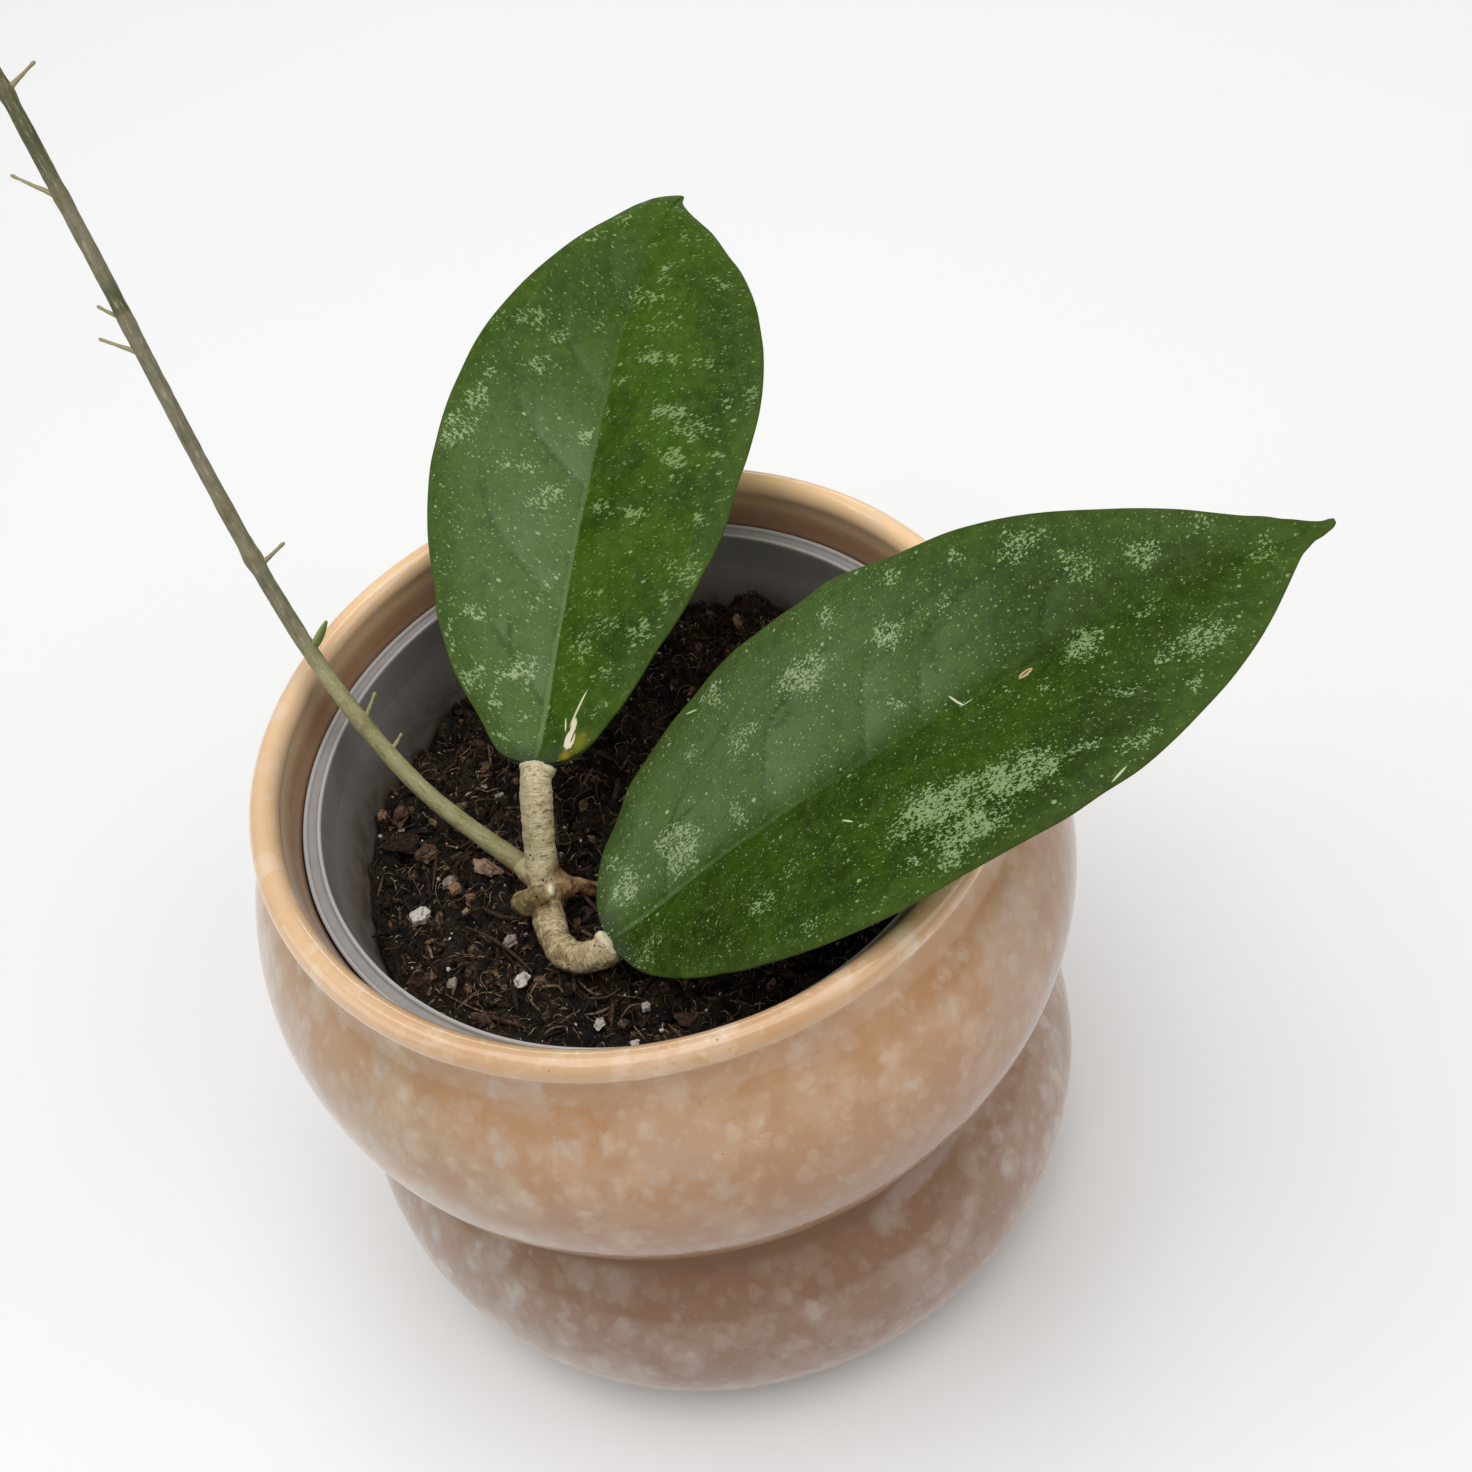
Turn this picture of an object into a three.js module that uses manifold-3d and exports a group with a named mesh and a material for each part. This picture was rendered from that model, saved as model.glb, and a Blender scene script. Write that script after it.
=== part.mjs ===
import * as THREE from 'three';
import { mergeVertices } from 'three/addons/utils/BufferGeometryUtils.js';
import Module from 'manifold-3d';

// A young wax plant in its pots: two thick oval leaves and one long bare vine grow from a corky
// node in the soil of a grey nursery pot, which stands inside a glazed cover pot with two bulges.
// Millimetres, +Z up. The origin is the centre of the cover pot's flat base; the front is -Y.

const wasm = await Module();
wasm.setup();

// Clearance that neighbouring pieces keep
const GAP = 0.3;

// Cover pot
const POT_HEIGHT = 120;
const POT_BASE_RADIUS = 50;
const POT_WALL = 4.2;
const POT_FLOOR = 9;
const POT_SEGMENTS = 44;
const RIM = { centre: 59.4, tube: 2.4, innerRadius: 57.2, creaseRadius: 60.3, creaseZ: 115.2 };
const UPPER_BULGE = { radius: 70, z: 85.5, across: 43.8, tall: 40.6 };
const LOWER_BULGE = { radius: 68.8, z: 25, across: 29.3, tall: 28 };
const GROOVE = { radius: 54.6, z: 51.6 };

// Nursery pot
const LINER = {
  lipTop: 111.1, lipBottom: 104.6, lipRadius: 55.5, lipInner: 52.5, ridge: 0.7, ledge: 0.7,
  wallTop: 53.7, wallBottom: 41, wall: 1.2, floor: 1.4, segments: 40,
  drainCount: 4, drainRadius: 3, drainCircle: 26,
};
const LINER_BASE = POT_FLOOR + GAP;

// Soil
const SOIL_LEVEL = 91;
const SOIL_RINGS = 10;
const SOIL_SECTORS = 48;
const MOUND = { x: 26, y: 36, height: 6.5, spread: 12 };

// Corky stem: the node, the stem under it and the two leaf stalks
const NODE = [-20.2, -7.2, 95.8];
const NODE_SIZE = [3.3, 3.6, 3.2];
const STALK_RADIUS = 2.65;
const COLLAR_RADIUS = 2.95;

// Leaves: midrib as a cubic curve, each half with its own width and outline exponents
const LEAF_THICKNESS = 1.2;
const LEAF_ROOT = { thickness: 2.6, reach: 0.07, halfWidth: 1.5 };
const LEAF_POINT = { reach: 0.03, halfWidth: 1.2, end: 0.35 };
const LEAF_CAMBER = 1.1;
const LEAF_STATIONS = 28;
const LEAF_COLUMNS = 10;
const LEAVES = {
  leaf_upper: {
    midrib: [[-15.5, 4.3, 112], [2.5, 37.5, 130], [21, 77, 149], [36.1, 90, 151]],
    left: { half: 28, rise: 0.67, fall: 0.7 },
    right: { half: 28, rise: 0.67, fall: 0.56 },
    roll: [-9, 9], fold: 7, wave: 0.5, waves: 3,
  },
  leaf_right: {
    midrib: [[-12, -23.3, 97], [10.5, -17.4, 103], [34.3, -31.8, 142], [101.8, -28.6, 152]],
    left: { half: 30, rise: 0.49, fall: 0.88 },
    right: { half: 29.6, rise: 0.6, fall: 0.79 },
    roll: [-5, 20.5], fold: 11.7, wave: 0.5, waves: 3.5,
  },
};

// Vine: its route climbs over the left rim to a growing tip
const VINE_ROUTE = [
  [-21.6, -4.3, 96.3], [-34.6, 9, 107.8], [-43.2, 22.8, 120], [-49.2, 37.4, 133],
  [-53.8, 52.5, 146], [-57.8, 67.4, 159.2], [-61.6, 82.4, 172.3], [-65.6, 97.2, 185.3],
  [-69.2, 110, 196.5], [-73.5, 121, 205], [-78, 129, 209],
];
const VINE_RADIUS = { root: 1.75, middle: 1.45, tip: 0.6 };
const VINE_STEPS = 56;
const VINE_SIDES = 8;
// Swollen joints of the vine: place along it in mm, and how much thicker it is there
const VINE_JOINTS = [[37.5, 0.35], [70, 0.55], [79.5, 0.3], [114, 0.35], [136.5, 0.35], [156, 0.3]];
const JOINT_SPREAD = 2.2;
// Air roots and bracts: place along the vine, length, direction
const AIR_ROOTS = [
  [31, 2.6, [0.75, 0.47, 0.46]], [37.5, 4, [0.6, 0.58, 0.54]], [52, 4.4, [0.67, 0.54, 0.51]],
  [68.5, 4.4, [0.89, 0.31, 0.33]], [108, 6.4, [-0.82, 0.46, 0.34]], [114, 4, [-0.73, 0.54, 0.41]],
  [136.5, 7.8, [-0.76, 0.52, 0.39]], [156, 5.4, [0.87, 0.35, 0.36]],
];
const AIR_ROOT_RADIUS = 0.55;

// Loose grains in the soil's surface: x, y, size, and for bark the stretch and turn
const PERLITE = [
  [-42, -2.3, 3.9], [-27.6, -20.6, 2.9], [-17.2, -32.6, 2.1], [-28.4, -12.1, 2.1],
  [-36.3, 3.2, 2.3], [-9.4, -32.6, 2], [-12.6, -38.6, 1.9], [-38.7, -18.1, 2.7],
];
const BARK = [
  [-29.2, 2.6, 3, 2, 55], [-42.2, 19.2, 3, 1.8, 70], [-39.6, 10.4, 2.6, 1.7, 20], [-35, -27, 2.4, 1.8, 120],
];

const radians = THREE.MathUtils.degToRad;
const smooth = (from, to, x) => THREE.MathUtils.smoothstep(x, from, to);
const fade = (until, x) => 1 - smooth(0, until, x);
const vector = (p) => new THREE.Vector3(...p);

// Closed geometry from points and triangles that face outwards
function closedGeometry(points, triangles) {
  const geometry = new THREE.BufferGeometry();
  const places = points.flatMap((p) => [p.x, p.y, p.z]);
  geometry.setAttribute('position', new THREE.Float32BufferAttribute(places, 3));
  geometry.setIndex(triangles.flat());
  return geometry;
}

function toManifold(geometry) {
  const plain = geometry.clone();
  plain.deleteAttribute('normal');
  plain.deleteAttribute('uv');
  const merged = mergeVertices(plain, 1e-4);
  return new wasm.Manifold(new wasm.Mesh({
    numProp: 3,
    vertProperties: new Float32Array(merged.attributes.position.array),
    triVerts: new Uint32Array(merged.index.array),
  }));
}

function toGeometry(solid) {
  const mesh = solid.getMesh();
  const geometry = new THREE.BufferGeometry();
  geometry.setAttribute('position', new THREE.BufferAttribute(new Float32Array(mesh.vertProperties), 3));
  geometry.setIndex(new THREE.BufferAttribute(new Uint32Array(mesh.triVerts), 1));
  geometry.computeVertexNormals();
  return geometry;
}

const unite = (solids) => solids.reduce((whole, next) => whole.add(next));

// A closed round bar along a smooth route, with its radius given along the way
function bar(route, radiusAt, { sides = 8, steps = 8 } = {}) {
  const curve = new THREE.CatmullRomCurve3(route.map(vector), false, 'catmullrom', 0.5);
  const frames = curve.computeFrenetFrames(steps, false);
  const points = [];
  const triangles = [];
  for (let i = 0; i <= steps; i += 1) {
    const centre = curve.getPointAt(i / steps);
    const radius = radiusAt(i / steps);
    for (let j = 0; j < sides; j += 1) {
      const angle = (2 * Math.PI * j) / sides;
      points.push(centre.clone()
        .addScaledVector(frames.normals[i], radius * Math.cos(angle))
        .addScaledVector(frames.binormals[i], radius * Math.sin(angle)));
    }
  }
  const at = (i, j) => i * sides + (j % sides);
  for (let i = 0; i < steps; i += 1) {
    for (let j = 0; j < sides; j += 1) {
      triangles.push([at(i, j), at(i, j + 1), at(i + 1, j)], [at(i + 1, j), at(i, j + 1), at(i + 1, j + 1)]);
    }
  }
  const start = points.push(curve.getPoint(0)) - 1;
  const end = points.push(curve.getPoint(1)) - 1;
  for (let j = 0; j < sides; j += 1) {
    triangles.push([start, at(0, j + 1), at(0, j)], [end, at(steps, j), at(steps, j + 1)]);
  }
  return toManifold(closedGeometry(points, triangles));
}

function ball(centre, size) {
  const geometry = new THREE.IcosahedronGeometry(1, 1);
  geometry.scale(...size);
  geometry.translate(...centre);
  return toManifold(geometry);
}

// Cover pot profile

// Point of a bulge's oval section at an angle up from its widest place
function ovalPoint(bulge, angle, inset = 0) {
  return new THREE.Vector2(
    bulge.radius - bulge.across + (bulge.across - inset) * Math.cos(angle),
    bulge.z + (bulge.tall - inset) * Math.sin(angle),
  );
}

function ovalArc(bulge, fromAngle, toAngle, count, inset = 0) {
  const points = [];
  for (let i = 0; i <= count; i += 1) {
    points.push(ovalPoint(bulge, THREE.MathUtils.lerp(fromAngle, toAngle, i / count), inset));
  }
  return points;
}

function potOutside() {
  const foot = ovalArc(LOWER_BULGE, radians(-57), radians(53), 8);
  const shoulder = ovalArc(UPPER_BULGE, radians(-45), radians(36), 9);
  const rim = [];
  for (let degrees = -50; degrees <= 130; degrees += 36) {
    const angle = radians(degrees);
    rim.push(new THREE.Vector2(
      RIM.centre + RIM.tube * Math.cos(angle),
      POT_HEIGHT - RIM.tube + RIM.tube * Math.sin(angle),
    ));
  }
  return [
    new THREE.Vector2(POT_BASE_RADIUS, 0),
    ...foot,
    new THREE.Vector2(GROOVE.radius, GROOVE.z),
    ...shoulder,
    new THREE.Vector2(RIM.creaseRadius, RIM.creaseZ),
    ...rim,
  ];
}

function potInside() {
  const belly = ovalArc(UPPER_BULGE, radians(32), radians(-46), 6, POT_WALL);
  const bowl = ovalArc(LOWER_BULGE, radians(54), radians(-34), 5, POT_WALL);
  return [
    new THREE.Vector2(RIM.innerRadius, POT_HEIGHT - RIM.tube),
    new THREE.Vector2(RIM.innerRadius, LINER.lipTop),
    ...belly,
    new THREE.Vector2(GROOVE.radius - POT_WALL, GROOVE.z),
    ...bowl,
    new THREE.Vector2(POT_BASE_RADIUS - POT_WALL, POT_FLOOR),
  ];
}

function coverPot() {
  const profile = [
    new THREE.Vector2(0, 0), ...potOutside(), ...potInside(), new THREE.Vector2(0, POT_FLOOR),
  ];
  return toManifold(lathe(profile, POT_SEGMENTS));
}

// Lathe about +Z of a profile that starts and ends on the axis
function lathe(profile, segments) {
  const geometry = new THREE.LatheGeometry(profile, segments);
  geometry.rotateX(Math.PI / 2);
  return geometry;
}

// Nursery pot

function linerOuterRadius(z) {
  const t = (z - LINER_BASE) / (LINER.lipBottom - LINER_BASE);
  return THREE.MathUtils.lerp(LINER.wallBottom, LINER.wallTop, t);
}

const linerInnerRadius = (z) => linerOuterRadius(z) - LINER.wall;

function nurseryPot() {
  const { lipTop, lipBottom, lipRadius, lipInner, ridge, ledge, floor } = LINER;
  const profile = [
    [0, LINER_BASE], [LINER.wallBottom - 1, LINER_BASE], [LINER.wallBottom, LINER_BASE + 1],
    [linerOuterRadius(lipBottom), lipBottom], [lipRadius, lipBottom], [lipRadius, lipTop],
    [lipRadius - ridge, lipTop], [lipRadius - ridge, lipTop - ledge], [lipInner + ridge, lipTop - ledge],
    [lipInner + ridge, lipTop], [lipInner, lipTop], [linerInnerRadius(lipBottom), lipBottom - 1],
    [linerInnerRadius(LINER_BASE + floor), LINER_BASE + floor], [0, LINER_BASE + floor],
  ].map(([r, z]) => new THREE.Vector2(r, z));
  let pot = toManifold(lathe(profile, LINER.segments));
  for (let i = 0; i < LINER.drainCount; i += 1) {
    const angle = (2 * Math.PI * (i + 0.5)) / LINER.drainCount;
    const hole = new THREE.CylinderGeometry(LINER.drainRadius, LINER.drainRadius, 6, 12);
    hole.rotateX(Math.PI / 2);
    hole.translate(LINER.drainCircle * Math.cos(angle), LINER.drainCircle * Math.sin(angle), LINER_BASE);
    pot = pot.subtract(toManifold(hole));
  }
  return pot;
}

// Soil: a heaped, lumpy surface that is higher at the back, between the leaves

function soilHeight(x, y) {
  const away = ((x - MOUND.x) ** 2 + (y - MOUND.y) ** 2) / (2 * MOUND.spread ** 2);
  return SOIL_LEVEL + MOUND.height * Math.exp(-away)
    + 1.1 * Math.sin(0.21 * x + 0.9) * Math.cos(0.17 * y - 0.4)
    + 0.6 * Math.sin(0.43 * x - 0.31 * y + 1.7)
    + 0.45 * Math.sin(0.9 * x + 0.52 * y) * Math.cos(0.66 * y - 0.4 * x + 0.8);
}

function soilBody() {
  const bottom = LINER_BASE + LINER.floor + GAP;
  const points = [new THREE.Vector3(0, 0, soilHeight(0, 0))];
  const triangles = [];
  const edge = linerInnerRadius(SOIL_LEVEL - 3) - GAP;
  for (let k = 1; k <= SOIL_RINGS; k += 1) {
    for (let j = 0; j < SOIL_SECTORS; j += 1) {
      const angle = (2 * Math.PI * (j + 0.5 * (k % 2))) / SOIL_SECTORS;
      const radius = edge * (k / SOIL_RINGS) ** 0.85;
      const x = radius * Math.cos(angle);
      const y = radius * Math.sin(angle);
      points.push(new THREE.Vector3(x, y, soilHeight(x, y)));
    }
  }
  const lower = linerInnerRadius(bottom) - GAP;
  const rings = SOIL_RINGS + 1;
  for (let j = 0; j < SOIL_SECTORS; j += 1) {
    const angle = (2 * Math.PI * (j + 0.5 * (SOIL_RINGS % 2))) / SOIL_SECTORS;
    points.push(new THREE.Vector3(lower * Math.cos(angle), lower * Math.sin(angle), bottom));
  }
  const at = (k, j) => 1 + (k - 1) * SOIL_SECTORS + (j % SOIL_SECTORS);
  const foot = points.push(new THREE.Vector3(0, 0, bottom)) - 1;
  for (let j = 0; j < SOIL_SECTORS; j += 1) {
    triangles.push([0, at(1, j), at(1, j + 1)], [foot, at(rings, j + 1), at(rings, j)]);
    for (let k = 1; k < rings; k += 1) {
      triangles.push([at(k, j), at(k + 1, j), at(k + 1, j + 1)], [at(k, j), at(k + 1, j + 1), at(k, j + 1)]);
    }
  }
  return toManifold(closedGeometry(points, triangles));
}

// Stem: grow makes every part of it thicker, for the hole that it stands in

// Unit direction in which a leaf leaves its stalk
function leafStart(name) {
  const [base, next] = LEAVES[name].midrib.map(vector);
  return { base, direction: next.sub(base).normalize() };
}

function stalk(name, route, grow) {
  const { base, direction } = leafStart(name);
  const end = base.clone().addScaledVector(direction, grow - GAP / 2);
  const before = base.clone().addScaledVector(direction, -2.2);
  const radius = (u) => STALK_RADIUS + grow + 0.25 * fade(0.25, u)
    + (COLLAR_RADIUS - STALK_RADIUS) * smooth(0.93, 0.97, u);
  return bar([...route, before.toArray(), end.toArray()], radius, { sides: 10, steps: 14 });
}

function stemBody(grow = 0) {
  const size = NODE_SIZE.map((half) => half + grow);
  return unite([
    ball(NODE, size),
    stalk('leaf_upper', [NODE, [-19.1, -3.6, 101.8], [-17.6, -0.1, 107.6]], grow),
    stalk('leaf_right', [NODE, [-20.8, -13, 95.4], [-20.4, -18.6, 95], [-18.2, -22.4, 95.2]], grow),
    bar([NODE, [-23, -8.5, 95.6], [-25.2, -8.9, 95.2]], (u) => 2.5 - 0.7 * u ** 3 + grow, { steps: 6 }),
    ball([-25, -8.9, 95.2], [1.9 + grow, 2.2 + grow, 2 + grow]),
    bar([NODE, [-15.8, -7.4, 94], [-12.4, -7.9, 91.4], [-10.6, -8.2, 87.6]], (u) => 2.3 - 1.1 * u + grow),
    bar([NODE, [-19.7, -5.9, 88], [-18.6, -4.6, 74]], (u) => 3 - 0.5 * u + grow),
    ball([-18.6, -4.6, 74], [2.5 + grow, 2.5 + grow, 2.5 + grow]),
  ]);
}

// Leaf blade

// Half the blade's width at a place along the midrib, from 0 at the stalk to 1 at the point
function halfWidth(s, { half, rise, fall }) {
  const body = 1 - LEAF_POINT.reach;
  const q = THREE.MathUtils.clamp(s / body, 1e-6, 1 - 1e-6);
  const widest = rise / (rise + fall);
  const peak = widest ** rise * (1 - widest) ** fall;
  const point = LEAF_POINT.halfWidth * Math.min((1 - s) / LEAF_POINT.reach, 1) ** 0.7 * q ** 4;
  const root = LEAF_ROOT.halfWidth * fade(0.03, s);
  return Math.max((half * q ** rise * (1 - q) ** fall) / peak + point, root, LEAF_POINT.end);
}

function bladeThickness(s) {
  const near = Math.max(1 - s / LEAF_ROOT.reach, 0);
  return LEAF_THICKNESS + (LEAF_ROOT.thickness - LEAF_THICKNESS) * near ** 2;
}

// Place on the blade's middle surface: s along the midrib, u across it from -1 (left) to 1 (right)
function bladePoint(leaf, curve, s, u) {
  const centre = curve.getPointAt(s);
  const along = curve.getTangentAt(s);
  const up = new THREE.Vector3(0, 0, 1).addScaledVector(along, -along.z).normalize();
  const side = new THREE.Vector3().crossVectors(along, up);
  const roll = radians(THREE.MathUtils.lerp(leaf.roll[0], leaf.roll[1], s));
  const normal = up.clone().multiplyScalar(Math.cos(roll)).addScaledVector(side, Math.sin(roll));
  const across = side.multiplyScalar(Math.cos(roll)).addScaledVector(up, -Math.sin(roll));
  const out = Math.abs(u);
  const width = halfWidth(s, u < 0 ? leaf.left : leaf.right) * out;
  const fold = radians(leaf.fold) * THREE.MathUtils.clamp(s / 0.1, 0.3, 1);
  const ends = Math.sin(Math.PI * s);
  const lift = width * Math.sin(fold)
    + LEAF_CAMBER * Math.sin(Math.PI * out) * ends
    + leaf.wave * out ** 2 * ends * Math.sin(2 * Math.PI * leaf.waves * s + Math.sign(u));
  return centre.addScaledVector(across, Math.sign(u) * width * Math.cos(fold)).addScaledVector(normal, lift);
}

function leafBody(name) {
  const leaf = LEAVES[name];
  const { base, direction } = leafStart(name);
  const midrib = leaf.midrib.map(vector);
  midrib[0] = base.addScaledVector(direction, GAP / 2);
  const curve = new THREE.CubicBezierCurve3(...midrib);
  const middle = [];
  for (let i = 0; i <= LEAF_STATIONS; i += 1) {
    const s = (1 - Math.cos((Math.PI * i) / LEAF_STATIONS)) / 2;
    const row = [];
    for (let j = 0; j <= LEAF_COLUMNS; j += 1) {
      row.push(bladePoint(leaf, curve, s, (2 * j) / LEAF_COLUMNS - 1));
    }
    middle.push(row);
  }
  const faces = { top: [], bottom: [] };
  for (let i = 0; i <= LEAF_STATIONS; i += 1) {
    const s = (1 - Math.cos((Math.PI * i) / LEAF_STATIONS)) / 2;
    const half = bladeThickness(s) / 2;
    for (let j = 0; j <= LEAF_COLUMNS; j += 1) {
      const ahead = middle[Math.min(i + 1, LEAF_STATIONS)][j].clone().sub(middle[Math.max(i - 1, 0)][j]);
      const beside = middle[i][Math.min(j + 1, LEAF_COLUMNS)].clone().sub(middle[i][Math.max(j - 1, 0)]);
      const normal = beside.cross(ahead).normalize();
      faces.top.push(middle[i][j].clone().addScaledVector(normal, half));
      faces.bottom.push(middle[i][j].clone().addScaledVector(normal, -half));
    }
  }
  const points = [...faces.top, ...faces.bottom];
  const below = faces.top.length;
  const at = (i, j) => i * (LEAF_COLUMNS + 1) + j;
  const triangles = [];
  const wall = (a, b) => triangles.push([a, a + below, b], [b, a + below, b + below]);
  for (let i = 0; i < LEAF_STATIONS; i += 1) {
    for (let j = 0; j < LEAF_COLUMNS; j += 1) {
      const [a, b, c, d] = [at(i, j), at(i, j + 1), at(i + 1, j + 1), at(i + 1, j)];
      triangles.push([a, b, c], [a, c, d]);
      triangles.push([a + below, c + below, b + below], [a + below, d + below, c + below]);
    }
    wall(at(i + 1, 0), at(i, 0));
    wall(at(i, LEAF_COLUMNS), at(i + 1, LEAF_COLUMNS));
  }
  for (let j = 0; j < LEAF_COLUMNS; j += 1) {
    wall(at(0, j), at(0, j + 1));
    wall(at(LEAF_STATIONS, j + 1), at(LEAF_STATIONS, j));
  }
  return toManifold(closedGeometry(points, triangles));
}

// Vine

function vineBody() {
  const curve = new THREE.CatmullRomCurve3(VINE_ROUTE.map(vector), false, 'catmullrom', 0.5);
  const length = curve.getLength();
  const radiusAt = (u) => {
    const taper = VINE_RADIUS.root + (VINE_RADIUS.middle - VINE_RADIUS.root) * smooth(0, 0.5, u)
      + (VINE_RADIUS.tip - VINE_RADIUS.middle) * smooth(0.82, 1, u);
    const swell = VINE_JOINTS.reduce(
      (sum, [at, more]) => sum + more * Math.exp(-(((u * length - at) / JOINT_SPREAD) ** 2)),
      0,
    );
    return taper + swell;
  };
  const parts = [bar(VINE_ROUTE, radiusAt, { sides: VINE_SIDES, steps: VINE_STEPS })];
  for (const [at, long, direction] of AIR_ROOTS) {
    const start = curve.getPointAt(at / length);
    const reach = (mm) => start.clone().addScaledVector(vector(direction), mm);
    const end = reach(radiusAt(at / length) + long);
    const middle = reach(0.6 * long).lerp(end, 0.2);
    middle.z -= 0.2;
    const route = [start, middle, end].map((p) => p.toArray());
    parts.push(bar(route, (u) => AIR_ROOT_RADIUS * (1 - 0.4 * u), { sides: 5, steps: 3 }));
  }
  return unite(parts);
}

// Grains: an angular lump, bedded a little over half deep in the soil

function grain([x, y, size, stretch = 1.25, turn = 40], index, grow = 0) {
  const geometry = new THREE.IcosahedronGeometry(1, 1);
  const place = geometry.attributes.position;
  for (let i = 0; i < place.count; i += 1) {
    const p = new THREE.Vector3().fromBufferAttribute(place, i);
    const lump = 1 + 0.13 * Math.sin(5 * p.x + 3 * index) * Math.cos(4 * p.y - 2 * index)
      + 0.1 * Math.sin(6 * p.z + index);
    p.multiplyScalar(lump);
    place.setXYZ(i, p.x, p.y, p.z);
  }
  const half = size / 2;
  geometry.scale(half * stretch + grow, half + grow, half * 0.85 + grow);
  geometry.rotateZ(radians(turn));
  geometry.translate(x, y, soilHeight(x, y) + 0.15 * size);
  return toManifold(geometry);
}

// Assembly

const group = new THREE.Group();

function addPiece(name, solid, look) {
  const mesh = new THREE.Mesh(toGeometry(solid), new THREE.MeshStandardMaterial(look));
  mesh.name = name;
  group.add(mesh);
}

const stem = stemBody();
const stemRoom = stemBody(GAP);
const grains = [
  ...PERLITE.map((place, i) => ({ name: `perlite_${i + 1}`, place, index: i, color: 0xe6e1d8 })),
  ...BARK.map((place, i) => ({ name: `bark_chip_${i + 1}`, place, index: i + 20, color: 0x7a4a36 })),
];
const soil = grains.reduce(
  (body, { place, index }) => body.subtract(grain(place, index, GAP)),
  soilBody().subtract(stemRoom),
);

addPiece('cover_pot', coverPot(), { color: 0xd3a87f, roughness: 0.18, metalness: 0 });
addPiece('nursery_pot', nurseryPot(), { color: 0x8f9298, roughness: 0.45, metalness: 0 });
addPiece('soil', soil, { color: 0x33241b, roughness: 0.95, metalness: 0 });
addPiece('stem', stem, { color: 0xb09a6c, roughness: 0.75, metalness: 0 });
addPiece('vine', vineBody().subtract(stemRoom), { color: 0x7f8660, roughness: 0.6, metalness: 0 });
addPiece('leaf_upper', leafBody('leaf_upper'), { color: 0x355c24, roughness: 0.4, metalness: 0 });
addPiece('leaf_right', leafBody('leaf_right'), { color: 0x2f5722, roughness: 0.4, metalness: 0 });
for (const { name, place, index, color } of grains) {
  addPiece(name, grain(place, index), { color, roughness: 0.9, metalness: 0 });
}

export default group;
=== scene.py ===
import itertools
import math

import bmesh
import bpy
import numpy as np
from mathutils import Matrix, Vector


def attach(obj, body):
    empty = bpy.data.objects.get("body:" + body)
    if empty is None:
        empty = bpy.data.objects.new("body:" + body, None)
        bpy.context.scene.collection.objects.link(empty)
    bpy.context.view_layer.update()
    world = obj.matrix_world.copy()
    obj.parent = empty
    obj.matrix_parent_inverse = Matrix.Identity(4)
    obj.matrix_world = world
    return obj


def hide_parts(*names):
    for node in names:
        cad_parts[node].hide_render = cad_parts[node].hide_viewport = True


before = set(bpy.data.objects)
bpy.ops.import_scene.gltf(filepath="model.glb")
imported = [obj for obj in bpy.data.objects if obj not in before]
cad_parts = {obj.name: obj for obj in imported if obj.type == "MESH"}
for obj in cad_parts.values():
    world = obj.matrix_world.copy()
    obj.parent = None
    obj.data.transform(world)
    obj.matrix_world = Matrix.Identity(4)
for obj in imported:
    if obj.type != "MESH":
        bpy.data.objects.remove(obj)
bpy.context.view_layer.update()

# A young wax plant in a grey nursery pot, which stands in a glazed cover pot with two bulges.
# Shapes are worked out in millimetres, in the frame's own axes, and become metres in new_object.
# The pots' outsides, the soil's level, the stalks and the midribs have the CAD source's sizes. The cover
# pot's neck inside, the knob, the vine and the loose grains are finer than there.

MM = 0.001


def place_object(name, data):
    made = bpy.data.objects.new(name, data)
    bpy.context.scene.collection.objects.link(made)
    return made


# Camera

CAMERA_PLACE = (0.0, -0.195214, 0.339151)
CAMERA_RIGHT = Vector((0.95819349, -0.24839021, -0.14201246))
CAMERA_DOWN = Vector((-0.28070228, -0.71994358, -0.63473417))
CAMERA_AHEAD = Vector((0.0554208, 0.64806137, -0.75956895))
SENSOR = 36.0
FOCAL_PIXELS = 1851.17
IMAGE_SIDE = 1472


def add_camera():
    data = bpy.data.cameras.new("camera")
    data.sensor_width = SENSOR
    data.lens = FOCAL_PIXELS / IMAGE_SIDE * SENSOR
    data.clip_start, data.clip_end = 0.01, 50.0
    camera = place_object("camera", data)
    turn = Matrix((CAMERA_RIGHT, -CAMERA_DOWN, -CAMERA_AHEAD)).transposed().to_4x4()
    camera.matrix_world = Matrix.Translation(CAMERA_PLACE) @ turn
    bpy.context.scene.camera = camera


add_camera()


# Numbers and curves

def lattice(x, y, z, seed):
    """A repeatable number from 0 to 1 at each whole-numbered place."""
    h = (x * 73856093) ^ (y * 19349663) ^ (z * 83492791) ^ (seed * 40503001)
    h &= 0xFFFFFFFF
    h = ((h ^ (h >> 13)) * 1274126177) & 0xFFFFFFFF
    h = ((h ^ (h >> 15)) * 668265263) & 0xFFFFFFFF
    return ((h ^ (h >> 16)) & 0xFFFFFF) / 0xFFFFFF


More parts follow.
